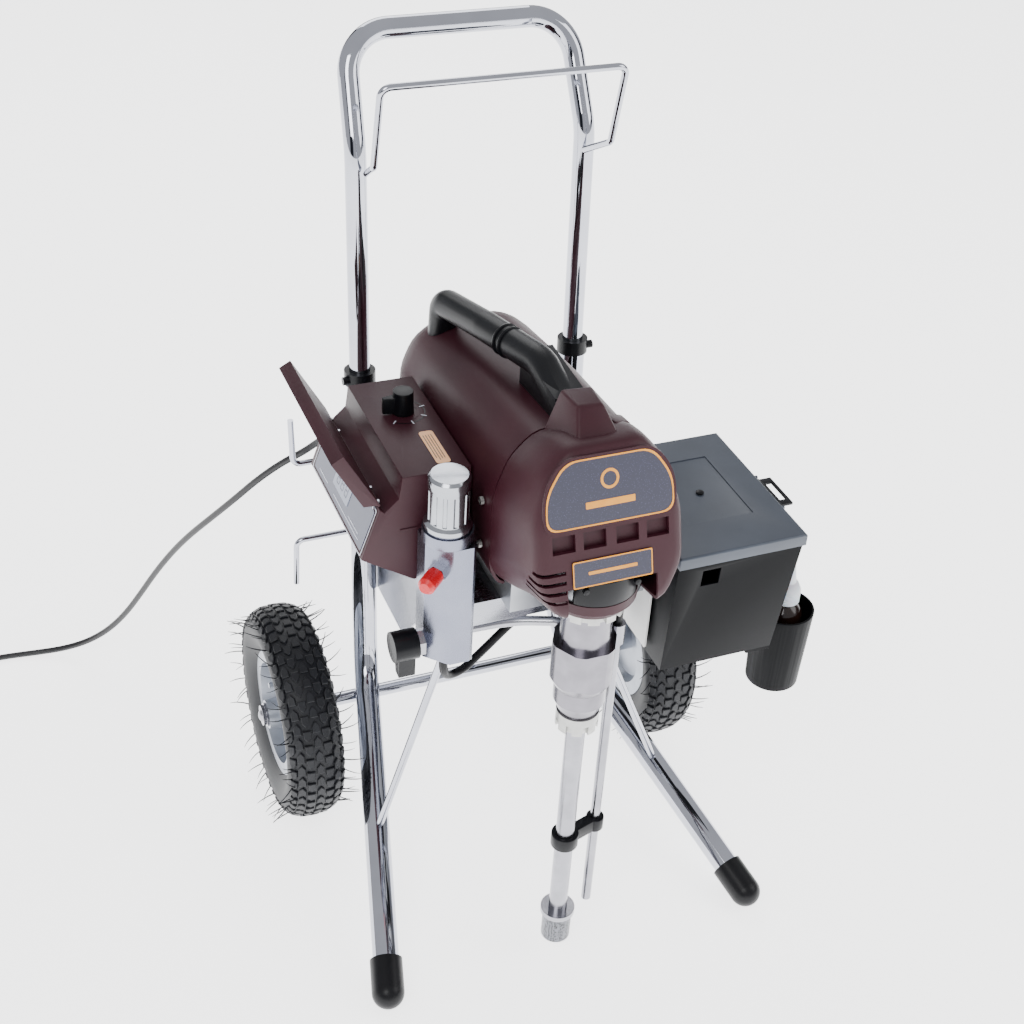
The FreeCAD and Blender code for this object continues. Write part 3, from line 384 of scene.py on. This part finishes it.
def wheel_centre(side):
    """Middle of the tyre's box in the frame."""
    low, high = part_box("tyre_" + side)
    return (Vector(low) + Vector(high)) / 2


for side in ("left", "right"):
    tyre = mesh_piece("tyre_" + side + "_tread", tyre_mesh(side), tyre_rubber, "wheel_" + side, 30)
    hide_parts("tyre_" + side)


# --- rims and axle ends ------------------------------------------------------------------
# Rims are two steel pressings, spot welded and silver painted; the axle ends have pressed domes.

rim_paint = surface("silver_wheel_paint", "#8f949e", "#b4b9c2", (0.25, 0.4), 20, 0.8, 0.02, Metallic=0.7)
paint(rim_paint, "rim_left", "rim_right")
turned_steel = surface("turned_steel", "#85858c", "#b2b2b8", (0.14, 0.3), 30, 1.6, 0.015, (0.15, 0.15, 6),
                       Metallic=1.0)
paint(turned_steel, "axle_caps", "hinge_pins")


# --- drive hood ---------------------------------------------------------------------------
# Two moulded shells of maroon ABS, 3 mm thick, with a fine spark-eroded texture. The rear one
# covers the motor and the front one the gears; each is screwed to the drive case at its sides.

ORIGIN_SHIFT = Vector((-10.75, 176.8, 0)) * MM
DRIVE_X, PUMP_Y, FACE_Y, FACE_LEAN = -18, -380, -408, 0.3
HOOD_MID_Z, FACE_MID_Z, WALL, MOUTH_R, MOUTH_TOP = 590, 600, 3, 44.3, 547
hood_plastic = surface("maroon_moulded_abs", "#2b0a14", "#3a121e", (0.42, 0.56), 70, 0.7, 0.05,
                       Specular_IOR_Level=0.32)


def rounded(points, reach, steps=3, closed=True):
    """Polyline with each corner turned into a short curve that starts reach before it."""
    result, count = [], len(points)
    for k, corner in enumerate(points):
        if not closed and k in (0, count - 1):
            result.append(corner.copy())
            continue
        before, after = points[k - 1], points[(k + 1) % count]
        start = corner + (before - corner) * min(0.45, reach / max((before - corner).length, 1e-6))
        end = corner + (after - corner) * min(0.45, reach / max((after - corner).length, 1e-6))
        for step in range(steps + 1):
            t = step / steps
            result.append(start * (1 - t) ** 2 + corner * 2 * t * (1 - t) + end * t * t)
    return result


def hood_ring(y, corners, lean=0.0, scale=1.0):
    """Ten-cornered section of the hood, in millimetres, rounded to a moulding's radii."""
    half = [Vector((DRIVE_X + w * scale, 0, HOOD_MID_Z + (z - HOOD_MID_Z) * scale)) for w, z in corners]
    half += [Vector((2 * DRIVE_X - p.x, 0, p.z)) for p in reversed(half)]
    for point in half:
        point.y = y + lean * (point.z - FACE_MID_Z)
    return rounded(half, 13)


def hood_shell(name, rings, cutters, end_reach):
    """Solid-walled shell through the rings, less its cutters."""
    paths = [rounded(list(path), end_reach, closed=False) for path in zip(*rings)]
    shape = bmesh.new()
    grid = [[shape.verts.new(p * MM + ORIGIN_SHIFT) for p in path] for path in paths]
    for a, b in zip(grid, grid[1:] + grid[:1]):
        for k in range(len(a) - 1):
            shape.faces.new((a[k], a[k + 1], b[k + 1], b[k]))
    shape.faces.new([path[-1] for path in grid])
    bmesh.ops.recalc_face_normals(shape, faces=shape.faces)
    mesh = mesh_of(name, shape)
    rough = placed(name + "_rough", mesh)
    wall = rough.modifiers.new("wall", "SOLIDIFY")
    wall.thickness, wall.offset = WALL * MM, -1
    for cutter in cutters:
        cut = rough.modifiers.new("cut", "BOOLEAN")
        cut.operation, cut.object, cut.solver = "DIFFERENCE", cutter, "EXACT"
    mesh = baked(rough)
    for cutter in cutters:
        bpy.data.objects.remove(cutter)
    return mesh


def tool(shape):
    """Cutter object for one boolean; it is deleted with the shell's construction."""
    return placed("cutter", mesh_of("cutter", shape))


def block(x0, x1, y0, y1, z0, z1):
    """Cutting box given by its limits in millimetres."""
    shape = bmesh.new()
    bmesh.ops.create_cube(shape, size=1.0)
    size = Vector((x1 - x0, y1 - y0, z1 - z0)) * MM
    middle = Vector((x0 + x1, y0 + y1, z0 + z1)) * MM / 2 + ORIGIN_SHIFT
    bmesh.ops.scale(shape, verts=shape.verts, vec=size)
    bmesh.ops.translate(shape, verts=shape.verts, vec=middle)
    return tool(shape)


def upright_drum(x, y, z0, z1, radius, steps=64):
    """Cutting cylinder standing on z0."""
    shape = bmesh.new()
    bmesh.ops.create_cone(shape, cap_ends=True, segments=steps, radius1=radius * MM, radius2=radius * MM,
                          depth=(z1 - z0) * MM)
    bmesh.ops.translate(shape, verts=shape.verts,
                        vec=Vector((x, y, (z0 + z1) / 2)) * MM + ORIGIN_SHIFT)
    return tool(shape)


rear_sections = [(-318, ((40, 652), (64, 628), (78, 588), (77, 502), (66, 479))),
                 (-180, ((40, 640), (66, 618), (78, 578), (77, 500), (66, 479))),
                 (-42, ((36, 622), (62, 604), (76, 570), (76, 498), (66, 479)))]
rear_rings = [hood_ring(y, corners) for y, corners in rear_sections]
rear_end = ((28, 604), (52, 590), (66, 560), (66, 502), (52, 488))
rear_rings += [hood_ring(-24, rear_end, scale=k) for k in (1.0, 0.55, 0.05)]
rear_mesh = hood_shell("rear_hood_shell", rear_rings, [block(-120, 90, -330, 0, 440, 481)], 22)
rear_piece = mesh_piece("rear_hood_shell", rear_mesh, hood_plastic, smooth_deg=40)
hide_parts("rear_hood")

front_sections = [(-320, ((40, 652), (64, 628), (78, 588), (78, 510), (66, 488))),
                  (-348, ((39, 666), (62, 640), (79, 592), (79, 528), (63, 496))),
                  (-378, ((37, 672), (60, 646), (77, 600), (77, 544), (58, 508)))]
face = ((34, 668), (56, 643), (72, 606), (72, 552), (52, 518))
front_rings = [hood_ring(y, corners) for y, corners in front_sections]
front_rings += [hood_ring(FACE_Y, face, FACE_LEAN, k) for k in (1.0, 0.6, 0.05)]
vents = [block(DRIVE_X + x, DRIVE_X + x + 22, -460, -396, 581, 597) for x in (-57, -27, 5, 35)]
mouth = [upright_drum(DRIVE_X, PUMP_Y, 400, MOUTH_TOP, MOUTH_R),
         block(DRIVE_X - MOUTH_R, DRIVE_X + MOUTH_R, -460, PUMP_Y, 400, MOUTH_TOP),
         block(-120, 90, -330, -430, 440, 507)]
gills = [block(-104, -63, -450, -390 - 6 * k, 534.5 + 9 * k, 538 + 9 * k) for k in range(4)]
front_mesh = hood_shell("front_cover_shell", front_rings, mouth + vents + gills, 11)
front_piece = mesh_piece("front_cover_shell", front_mesh, hood_plastic, smooth_deg=40)
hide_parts("front_cover")


BOX_FACES = [(0, 1, 2, 3), (4, 7, 6, 5), (0, 4, 5, 1), (1, 5, 6, 2), (2, 6, 7, 3), (3, 7, 4, 0)]


def moulding(name, points, edge_mm, material):
    """Six-sided solid from its lower and upper corners in millimetres, with rounded edges."""
    shape = bmesh.new()
    corners = [shape.verts.new(Vector(p) * MM + ORIGIN_SHIFT) for p in points]
    for face_corners in BOX_FACES:
        shape.faces.new([corners[k] for k in face_corners])
    bmesh.ops.recalc_face_normals(shape, faces=shape.faces)
    mesh = mesh_of(name, shape)
    rough = placed(name + "_rough", mesh)
    bevel = rough.modifiers.new("edges", "BEVEL")
    bevel.width, bevel.segments = edge_mm * MM, 3
    return mesh_piece(name, baked(rough), material)


def crest_corners():
    """The crest in front of the carry handle: a wedge that runs out in the front face."""
    x = DRIVE_X - 1
    low = [(x - 33, -316, 640), (x + 31, -316, 640), (x + 25, -388, 652), (x - 27, -388, 652)]
    high = [(x - 16, -317, 690), (x + 15, -317, 688), (x + 12, -350, 689), (x - 13, -350, 691)]
    return low + high


moulding("front_cover_crest", crest_corners(), 3.0, hood_plastic)
moulding("front_cover_shoulder", [(6, -321, 632), (38, -321, 618), (38, -352, 622), (6, -374, 636),
                                  (6, -322, 662), (27, -322, 655), (26, -342, 659), (6, -352, 668)],
         3.0, hood_plastic)


def turned_piece(name, profile, steps, turn, place, material):
    """Piece lathed from (radius, along) pairs in millimetres, turned from the X axis and set down."""
    shape = lathe([(r * MM, along * MM) for r, along in profile], steps)
    bmesh.ops.rotate(shape, verts=shape.verts, cent=(0, 0, 0), matrix=turn)
    bmesh.ops.translate(shape, verts=shape.verts, vec=Vector(place) * MM + ORIGIN_SHIFT)
    return mesh_piece(name, mesh_of(name, shape), material)


UPRIGHT = Matrix.Rotation(math.radians(-90), 3, "Y")
turned_piece("front_cover_skirt", [(37, -6), (44, 3), (44, 13), (41.5, 13), (41.5, 4), (34.8, -5)], 72,
             UPRIGHT, (DRIVE_X, PUMP_Y, 505.2), hood_plastic)


# --- badges -------------------------------------------------------------------------------
# Two printed plates with gold borders on the front face, dark blue with a fine silver fleck. The
# larger carries a ring and a bar, the smaller a bar.

def fleck_material(name, field, fleck):
    """Printed film: dark field with flecks under a clear coat."""
    material, tree, shader, coords = new_material(name, {"Roughness": 0.3, "Coat Weight": 0.3})
    specks = add(tree, "ShaderNodeTexVoronoi", {"Scale": 1000 / 1.6}, {"Vector": coords})
    lit = add(tree, "ShaderNodeMapRange", {"From Min": 0.28, "From Max": 0.12}, {"Value": specks.outputs[0]})
    shade = add(tree, "ShaderNodeMix", {"data_type": "RGBA", 6: linear(field), 7: linear(fleck)},
                {0: lit.outputs[0]})
    tree.links.new(shade.outputs[2], shader.inputs["Base Color"])
    return material


label_film = fleck_material("navy_fleck_film", "#121230", "#34375a")
gold_print = surface("gold_print", "#d98a1c", "#eba236", (0.3, 0.4), 10, 0.8, 0.01)


def on_face(x, z, lift):
    """Point on the front cover's leaning face, lift millimetres off it."""
    return Vector((DRIVE_X + x, FACE_Y - lift + FACE_LEAN * (z - FACE_MID_Z), z))


def plate(name, outline, lift, thickness, material, to_place, hole=None):
    """Flat plate with the given outline of (x, z) pairs, or a band between outline and hole."""
    shape = bmesh.new()
    outer = [[shape.verts.new(to_place(x, z, h) * MM + ORIGIN_SHIFT) for x, z in outline]
             for h in (lift, lift + thickness)]
    count = len(outline)
    loops = [outer]
    if hole:
        loops.append([[shape.verts.new(to_place(x, z, h) * MM + ORIGIN_SHIFT) for x, z in hole]
                      for h in (lift, lift + thickness)])
        for level in (0, 1):
            for k in range(count):
                a, b = loops[0][level], loops[1][level]
                shape.faces.new((a[k], a[(k + 1) % count], b[(k + 1) % count], b[k]))
    else:
        shape.faces.new(outer[0])
        shape.faces.new(outer[1])
    for low, high in loops:
        for k in range(count):
            shape.faces.new((low[k], low[(k + 1) % count], high[(k + 1) % count], high[k]))
    bmesh.ops.recalc_face_normals(shape, faces=shape.faces)
    mesh = mesh_of(name, shape)
    return mesh_piece(name, mesh, material)


def rounded_outline(corners, reach, grow=0.0):
    """Rounded (x, z) outline; grow moves its corners out from the middle, in millimetres."""
    middle = sum((Vector((x, 0, z)) for x, z in corners), Vector()) / len(corners)
    points = []
    for x, z in corners:
        away = Vector((x, 0, z)) - middle
        points.append(middle + Vector((away.x + math.copysign(grow, away.x), 0,
                                       away.z + math.copysign(grow, away.z))))
    return [(p.x, p.z) for p in rounded(points, reach, 5)]


label_corners = [(-61, 604), (61, 604), (60, 634), (41, 661), (-41, 661), (-60, 634)]
strip_corners = [(-38, 549), (38, 549), (38, 571), (-38, 571)]
label = plate("front_label", rounded_outline(label_corners, 13), 0.3, 1.0, label_film, on_face)
plate("name_strip", rounded_outline(strip_corners, 2), 0.3, 1.0, label_film, on_face)
plate("front_label_border", rounded_outline(label_corners, 13, 0.2), 1.25, 0.3, gold_print, on_face,
      hole=rounded_outline(label_corners, 12.4, -1.6))
plate("name_strip_border", rounded_outline(strip_corners, 2, 0.1), 1.25, 0.3, gold_print, on_face,
      hole=rounded_outline(strip_corners, 1.6, -1.2))
plate("front_label_frame", rounded_outline(label_corners, 15, 4.2), -1.0, 2.2, hood_plastic, on_face,
      hole=rounded_outline(label_corners, 13.2, 0.7))
vent_floor = [(-59, 578), (59, 578), (59, 600), (-59, 600)]
plate("front_cover_vent_floor", rounded_outline(vent_floor, 2), -8.0, 1.5, hood_plastic, on_face)


def label_circle(radius):
    """Circle of the label's ring mark, as (x, z) pairs."""
    turns = [math.radians(10 * k) for k in range(36)]
    return [(radius * math.cos(a), 642 + radius * math.sin(a)) for a in turns]


plate("front_label_mark", label_circle(9), 1.25, 0.3, gold_print, on_face, hole=label_circle(6.5))
plate("front_label_bar", rounded_outline([(-24, 618), (24, 618), (24, 624), (-24, 624)], 1), 1.25, 0.3,
      gold_print, on_face)
strip_bar = [(-24, 558.5), (24, 558.5), (24, 561.5), (-24, 561.5)]
plate("name_strip_bar", rounded_outline(strip_bar, 0.8), 1.25, 0.3, gold_print, on_face)
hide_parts("badges")


# --- carry handle --------------------------------------------------------------------------
# Soft black rubber grip over a steel core, with a moulded ring where the grip meets its front arm.

grip_rubber = surface("soft_grip_rubber", "#060709", "#0e0f14", (0.3, 0.42), 24, 0.9, 0.05,
                      Specular_IOR_Level=0.26)
softened("carry_handle", grip_rubber, 2.5, 4)
grip_turn = Vector((1, 0, 0)).rotation_difference(Vector((-20, 92, -8))).to_matrix()
for k, place in enumerate(((-35.6, -201, 674), (-37.4, -192.5, 673.3))):
    turned_piece("grip_ring_%d" % k, [(14.5, -1.6), (15.9, -1.2), (16.3, 0), (15.9, 1.2), (14.5, 1.6)], 48,
                 grip_turn, place, grip_rubber)


# --- pump -----------------------------------------------------------------------------------
# Ground steel cylinder and housing, galvanised castellated nuts, stainless siphon tube.

paint(turned_steel, "siphon_tube", "drain_tube", "pressure_tube", "pump_rod", "intake_ball", "crankshaft",
      "crank_yoke", "filter_element")
ground_steel = surface("ground_tool_steel", "#6f6c73", "#97959c", (0.16, 0.3), 24, 1.4, 0.015,
                       (0.15, 0.15, 6), Metallic=1.0)
paint(ground_steel, "pump_cylinder", "intake_housing")


def strainer_with_painted_hole_shade():
    """Stainless strainer sheet, punched all over with small holes; the holes are not cut but painted as
    near-black spots, painted shade for the dark seen through them.
    """
    material, tree, shader, coords = new_material("stainless_with_painted_hole_shade", {"Roughness": 0.3})
    holes = add(tree, "ShaderNodeTexVoronoi", {"Scale": 1000 / 2.2, "Randomness": 0.55},
                {"Vector": coords})
    punched = add(tree, "ShaderNodeMapRange", {"From Min": 0.36, "From Max": 0.5},
                  {"Value": holes.outputs[0]})
    # The near-black hole colour is painted shade, since the sheet itself is not cut through.
    shade = add(tree, "ShaderNodeMix", {"data_type": "RGBA", 6: linear("#0c0d10"), 7: linear("#7c7e84")},
                {0: punched.outputs[0]})
    relief = add(tree, "ShaderNodeBump", {"Strength": 0.8, "Distance": 0.4 * MM},
                 {"Height": punched.outputs[0]})
    tree.links.new(shade.outputs[2], shader.inputs["Base Color"])
    tree.links.new(punched.outputs[0], shader.inputs["Metallic"])
    tree.links.new(relief.outputs[0], shader.inputs["Normal"])
    return material


paint(strainer_with_painted_hole_shade(), "strainer")
nut_metal = surface("galvanised_casting", "#9a9a98", "#c7c7c4", (0.25, 0.42), 12, 1.0, 0.03, Metallic=1.0)
paint(nut_metal, "pump_nuts", "socket_screws")
softened("rod_cover", black_plastic, 0.8)
sideways = Matrix.Rotation(math.radians(90), 3, "Z")
for k, x in enumerate((-43.5, 7.5)):
    turned_piece("window_screw_%d" % k, [(0.05, 0), (1.2, 0.2), (2.9, 0.4), (3.4, 1.4), (3.4, 4), (0.05, 4)],
                 24, sideways, (x, -425.2, 541), black_plastic)
softened("tube_clip", black_plastic, 0.8)
paint(black_rubber, "drain_hose")


# --- motor and drive case --------------------------------------------------------------------
# Cast aluminium case, laminated stator with enamelled windings; all of it under the hood.

cast_aluminium = surface("cast_aluminium", "#9ea1a5", "#c1c4c8", (0.35, 0.5), 20, 1.2, 0.05, Metallic=1.0)
paint(cast_aluminium, "drive_housing")
paint(surface("laminations", "#4a3328", "#7b5038", (0.35, 0.55), 14, 0.8, 0.05, (1, 20, 1), Metallic=0.6),
      "motor_stator", "motor_rotor")
paint(surface("natural_nylon", "#d8d2bd", "#e6e1cf", (0.4, 0.5), 12, 0.8, 0.02), "pump_seals")
paint(surface("board_lacquer", "#0c3d22", "#14573a", (0.25, 0.4), 9, 0.8, 0.02), "circuit_board")


# --- filter manifold --------------------------------------------------------------------------
# Milled aluminium block with a polished fluted cap.

milled = surface("milled_aluminium", "#737686", "#8f92a0", (0.2, 0.34), 40, 1.8, 0.012, (6, 6, 0.3),
                 Metallic=1.0)
softened("manifold_block", milled, 1.0)
softened("filter_cap", surface("polished_aluminium", "#8e9197", "#b3b6bc", (0.1, 0.22), 30, 2, 0.01,
                               (0.2, 0.2, 5), Metallic=1.0), 0.8)
paint(turned_steel, "manifold_fittings")
paint(surface("red_vinyl", "#c4101a", "#dd1f28", (0.22, 0.32), 12, 0.8, 0.02), "outlet_cap")
softened("prime_valve_knob", black_plastic, 1.2)


# --- control box ---------------------------------------------------------------------------------
# Maroon moulded case with a hinged lid. A printed film with a grey liquid-crystal window covers its
# slanted left face; the top carries a pointer knob, its printed arc and a small caution label.

box_plastic = surface("maroon_box_plastic", "#2d0e17", "#3a1520", (0.42, 0.56), 60, 0.7, 0.05,
                      Specular_IOR_Level=0.32)
softened("control_box", box_plastic, 1.2)
softened("control_lid", box_plastic, 0.9)
softened("pressure_knob", black_plastic, 0.8)


KNOB_X, KNOB_Y, BOX_TOP = -129, -160, 589


def on_display(x, z, lift):
    """Point on the slanted face: x runs along the machine, z up the face."""
    return Vector((-206 + 0.324 * z - 0.946 * lift, x, 503 + 0.946 * z + 0.324 * lift))


def on_box_top(x, y, lift):
    """Point on the control box's top, lift millimetres off it."""
    return Vector((x, y, BOX_TOP + lift))


def oblong(x, z, wide, tall):
    """Rectangular outline about a middle."""
    return [(x - wide / 2, z - tall / 2), (x + wide / 2, z - tall / 2), (x + wide / 2, z + tall / 2),
            (x - wide / 2, z + tall / 2)]


display_film = surface("display_film", "#353a52", "#434965", (0.18, 0.28), 20, 0.8, 0.01)
silver_print = surface("silver_print", "#b9bdca", "#d2d6e0", (0.3, 0.4), 10, 0.8, 0.01)
display_glass = surface("liquid_crystal_window", "#7f869b", "#9298ab", (0.1, 0.16), 20, 0.8, 0.004)
film_outline = [(-262, 5), (-108, 5), (-108, 50), (-262, 50)]
plate("display_film", rounded_outline(film_outline, 3), 0.1, 0.5, display_film, on_display)
plate("display_border", rounded_outline(film_outline, 3, -2.5), 0.6, 0.2, silver_print, on_display,
      hole=rounded_outline(film_outline, 2.6, -3.6))
plate("display_window", rounded_outline([(-206, 18), (-160, 18), (-160, 42), (-206, 42)], 2), 0.6, 0.5,
      display_glass, on_display)
bars = [(0, z, 6, 1.1) for z in (24, 30, 36)]
bars += [(x, z, 1.1, 5) for z in (27, 33) for x in (-3.4, 3.4)]
for digit in range(3):
    for x, z, wide, tall in bars:
        plate("display_segment", oblong(-195 + 12 * digit + x, z, wide, tall), 1.1, 0.12, display_film,
              on_display)
for z, start, end in ((10, -250, -170), (45, -245, -205), (14, -246, -215), (10, -150, -122)):
    plate("display_rule", oblong((start + end) / 2, z, end - start, 1), 0.6, 0.15, silver_print, on_display)
caution_print = surface("orange_film", "#e8a468", "#f2b67e", (0.3, 0.4), 12, 0.8, 0.01)
caution_outline = [(-127.3, -257), (-113, -257), (-113, -200), (-127.3, -200)]
plate("caution_label", rounded_outline(caution_outline, 4), 0.05, 0.3, caution_print, on_box_top)
for x in (-124.6, -122.0, -119.2, -116.6):
    start = -250 + 3 * math.sin(x)
    plate("caution_rule", oblong(x, (start - 207) / 2, 0.7, -207 - start), 0.35, 0.08, black_plastic,
          on_box_top)
arc = [(math.cos(math.radians(a)), math.sin(math.radians(a))) for a in range(-130, 61, 10)]
for inner, outer, height in ((21.2, 22.4, 0.1), (14.5, 16.5, 0.05)):
    band = [(KNOB_X + outer * c, KNOB_Y + outer * v) for c, v in arc]
    band += [(KNOB_X + inner * c, KNOB_Y + inner * v) for c, v in reversed(arc)]
    for k in range(len(arc) - 1):
        quad = [band[k], band[k + 1], band[-2 - k], band[-1 - k]]
        plate("knob_arc", quad, height, 0.15, black_plastic if outer > 20 else box_plastic, on_box_top)
for a in (-130, -82, -35, 12, 60):
    c, v = math.cos(math.radians(a)), math.sin(math.radians(a))
    tick = [(18.5, -0.6), (24.5, -0.6), (24.5, 0.6), (18.5, 0.6)]
    plate("knob_tick", [(KNOB_X + r * c - w * v, KNOB_Y + r * v + w * c) for r, w in tick], 0.3, 0.12,
          silver_print, on_box_top)
seam = [(-168, -271), (-97.2, -271), (-97.2, -269.5), (-168, -269.5)]
moulding("control_box_seam", [(x, y, z) for z in (529, 531) for x, y in seam], 0.5, box_plastic)


# --- toolbox ---------------------------------------------------------------------------------------
# Black polypropylene tray on its bracket, with a hinged grey lid, a cup on the outer side and in it
# the oil bottle: dark oil behind clear plastic, under a ridged natural cap and spout.

tray_plastic = surface("toolbox_polypropylene", "#040507", "#090a0e", (0.4, 0.52), 40, 0.7, 0.04,
                       Specular_IOR_Level=0.1)
softened("toolbox_tray", tray_plastic, 1.2)
softened("toolbox_lid", surface("grey_black_plastic", "#343a44", "#444b57", (0.34, 0.46), 50, 0.7, 0.03), 0.8)
softened("toolbox_latch", black_plastic, 0.6)
softened("cup_holder", tray_plastic, 1.0)


def standing_lathe(name, profile, base, material, body, steps=48):
    """Piece turned about a vertical axis from (radius, height) pairs, in millimetres."""
    shape = lathe([(r * MM, z * MM) for r, z in profile], steps)
    bmesh.ops.remove_doubles(shape, verts=shape.verts, dist=1e-6)
    bmesh.ops.rotate(shape, verts=shape.verts, cent=(0, 0, 0), matrix=UPRIGHT)
    bmesh.ops.translate(shape, verts=shape.verts, vec=Vector(base) * MM + ORIGIN_SHIFT)
    bmesh.ops.recalc_face_normals(shape, faces=shape.faces)
    mesh = mesh_of(name, shape)
    return mesh_piece(name, mesh, material, body)


oil_finish = surface("oil_behind_plastic", "#160d0a", "#24140f", (0.1, 0.2), 14, 1.0, 0.01)
cap_finish = surface("natural_polyethylene", "#c3cad4", "#dfe4ea", (0.3, 0.42), 10, 0.8, 0.02,
                     Subsurface_Weight=0.15)
bottle_profile = [(0, 0), (18, 0), (20, 3), (20, 88), (17, 96), (9, 102), (9, 104), (0, 104)]
bottle = standing_lathe("oil_bottle_body", bottle_profile, (252, -312, 273), oil_finish, "bottle")
ridges = [(14.5 - 0.5 * (k % 2), 1.2 * k) for k in range(14)]
cap_profile = [(0, 0)] + ridges + [(11, 22), (8, 24), (2.4, 58), (1.8, 62), (0, 62)]
standing_lathe("oil_bottle_cap", cap_profile, (252, -312, 377.2), cap_finish, "bottle")
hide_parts("oil_bottle")
standing_lathe("toolbox_lid_button", [(0, 0), (4.2, 0), (4.2, 1.0), (3.2, 1.7), (0, 2.0)], (156, -266, 503.6),
               black_plastic, "lid_toolbox", 32)


# --- power cord --------------------------------------------------------------------------------------
# Rubber-jacketed three-core lead, 7.5 mm across, laid over the upper hook and down to a coil.

CORD_R = 3.75 * MM
COIL_CENTRE, COIL_R, COIL_TURNS = Vector((-590, 339, 0)) * MM, 38 * MM, 4.25
route = [(-160, -72.6, 500), (-160, -47, 498), (-163, -24, 487), (-172, -7, 468), (-187, 5, 449),
         (-207, 17, 432), (-232, 33, 404), (-256, 54, 367), (-278, 82, 327), (-298, 113, 286),
         (-315, 145, 242), (-333, 176, 192), (-350, 205, 140), (-368, 231, 92), (-390, 254, 52),
         (-417, 273, 24), (-448, 287, 9), (-482, 296, 4), (-518, 300, 4), (-554, 301, 4)]
cord_points = [Vector(p) * MM for p in route]
per_turn = 16
for k in range(int(COIL_TURNS * per_turn) + 1):
    turns = k / per_turn
    layer = min(3, int(turns))
    blend = min(1.0, max(0.0, (turns - layer - 0.75) * 4)) if layer < 3 else 0.0
    offsets = [(1, 0), (-1, 0), (-1, 1), (1, 1)]
    here, after = offsets[layer], offsets[min(3, layer + 1)]
    out = here[0] + (after[0] - here[0]) * blend
    up = here[1] + (after[1] - here[1]) * blend
    lift = max(0.0, turns - (COIL_TURNS - 0.3)) / 0.3 * 8.8 * MM
    angle = -math.pi / 2 - 2 * math.pi * turns
    radius = COIL_R + out * CORD_R
    cord_points.append(COIL_CENTRE + Vector((radius * math.cos(angle), radius * math.sin(angle),
                                             CORD_R * (1 + 2 * up) + 0.1 * MM + lift)))
curve = bpy.data.curves.new("power_cord_lead", "CURVE")
curve.dimensions, curve.bevel_depth, curve.bevel_resolution, curve.resolution_u = "3D", CORD_R, 6, 6
curve.use_fill_caps = True
spline = curve.splines.new("NURBS")
spline.points.add(len(cord_points) - 1)
for point, place in zip(spline.points, cord_points):
    point.co = (*(place + ORIGIN_SHIFT), 1.0)
spline.order_u = 3
spline.use_endpoint_u = True
cord = placed("power_cord_lead", curve)
paint(surface("cord_jacket", "#0d0e11", "#191a1e", (0.35, 0.5), 20, 1.0, 0.02), cord)
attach(cord, "root")
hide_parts("power_cord", "cord_coil")
softened_plug = softened("mains_plug", black_rubber, 1.2)


# --- floor and light -----------------------------------------------------------------------------------
# Plain white floor that glows a little, a pale sky with three dark panels to shape the chrome, and
# three large soft lamps.

floor_mesh = bpy.data.meshes.new("floor")
floor_mesh.from_pydata([(-40, -40, -0.0006), (40, -40, -0.0006), (40, 40, -0.0006), (-40, 40, -0.0006)], [],
                       [(0, 1, 2, 3)])
floor = placed("floor", floor_mesh)
floor_paper, floor_tree, floor_shader, floor_coords = new_material(
    "white_paper", {"Roughness": 0.9, "Emission Color": (1.0, 1.0, 1.0, 1.0), "Emission Strength": 2.6})
paper = add(floor_tree, "ShaderNodeTexNoise", {"Scale": 3.0}, {"Vector": floor_coords})
paper_shade = add(floor_tree, "ShaderNodeMix",
                  {"data_type": "RGBA", 6: linear("#f7f7f7"), 7: linear("#fbfbfb")}, {0: paper.outputs[0]})
floor_tree.links.new(paper_shade.outputs[2], floor_shader.inputs["Base Color"])
floor_mesh.materials.append(floor_paper)

world = bpy.data.worlds.new("studio")
bpy.context.scene.world = world
world.use_nodes = True
sky = world.node_tree
around = add(sky, "ShaderNodeTexCoord").outputs["Object"]
turn = add(sky, "ShaderNodeTexGradient", {"gradient_type": "RADIAL"}, {"Vector": around})
walls = add(sky, "ShaderNodeValToRGB", links={"Fac": turn.outputs[0]})
ramp = walls.color_ramp
WALL_SHADE = "#f6f7fb"
ramp.elements[0].color, ramp.elements[1].color = linear(WALL_SHADE), linear(WALL_SHADE)
for start, end, shade in ((0.06, 0.18, "#2c2f38"), (0.40, 0.53, "#3a3d46"), (0.70, 0.82, "#24262e")):
    for place, colour in ((start, WALL_SHADE), (start + 0.03, shade), (end - 0.03, shade), (end, WALL_SHADE)):
        ramp.elements.new(place).color = linear(colour)
height = add(sky, "ShaderNodeSeparateXYZ", links={0: around})
overhead = add(sky, "ShaderNodeMapRange", {"From Min": 0.35, "From Max": 0.6}, {"Value": height.outputs[2]})
ceiling = add(sky, "ShaderNodeMix", {"data_type": "RGBA", 7: linear("#f8f9fc")},
              {0: overhead.outputs[0], 6: walls.outputs[0]})
sky.links.new(ceiling.outputs[2], sky.nodes["Background"].inputs["Color"])
sky.nodes["Background"].inputs["Strength"].default_value = 0.8
for name, place, size, power in (("key", (-1.6, -1.8, 2.6), 1.4, 42), ("fill", (2.2, -1.2, 1.9), 1.6, 26),
                                 ("back", (0.3, 2.4, 2.4), 1.8, 34)):
    lamp_data = bpy.data.lights.new(name, "AREA")
    lamp_data.size, lamp_data.energy = size, power
    lamp = bpy.data.objects.new(name, lamp_data)
    lamp.location = place
    lamp.rotation_euler = (Vector((0, 0, 0.4)) - Vector(place)).to_track_quat("-Z", "Y").to_euler()
    bpy.context.scene.collection.objects.link(lamp)
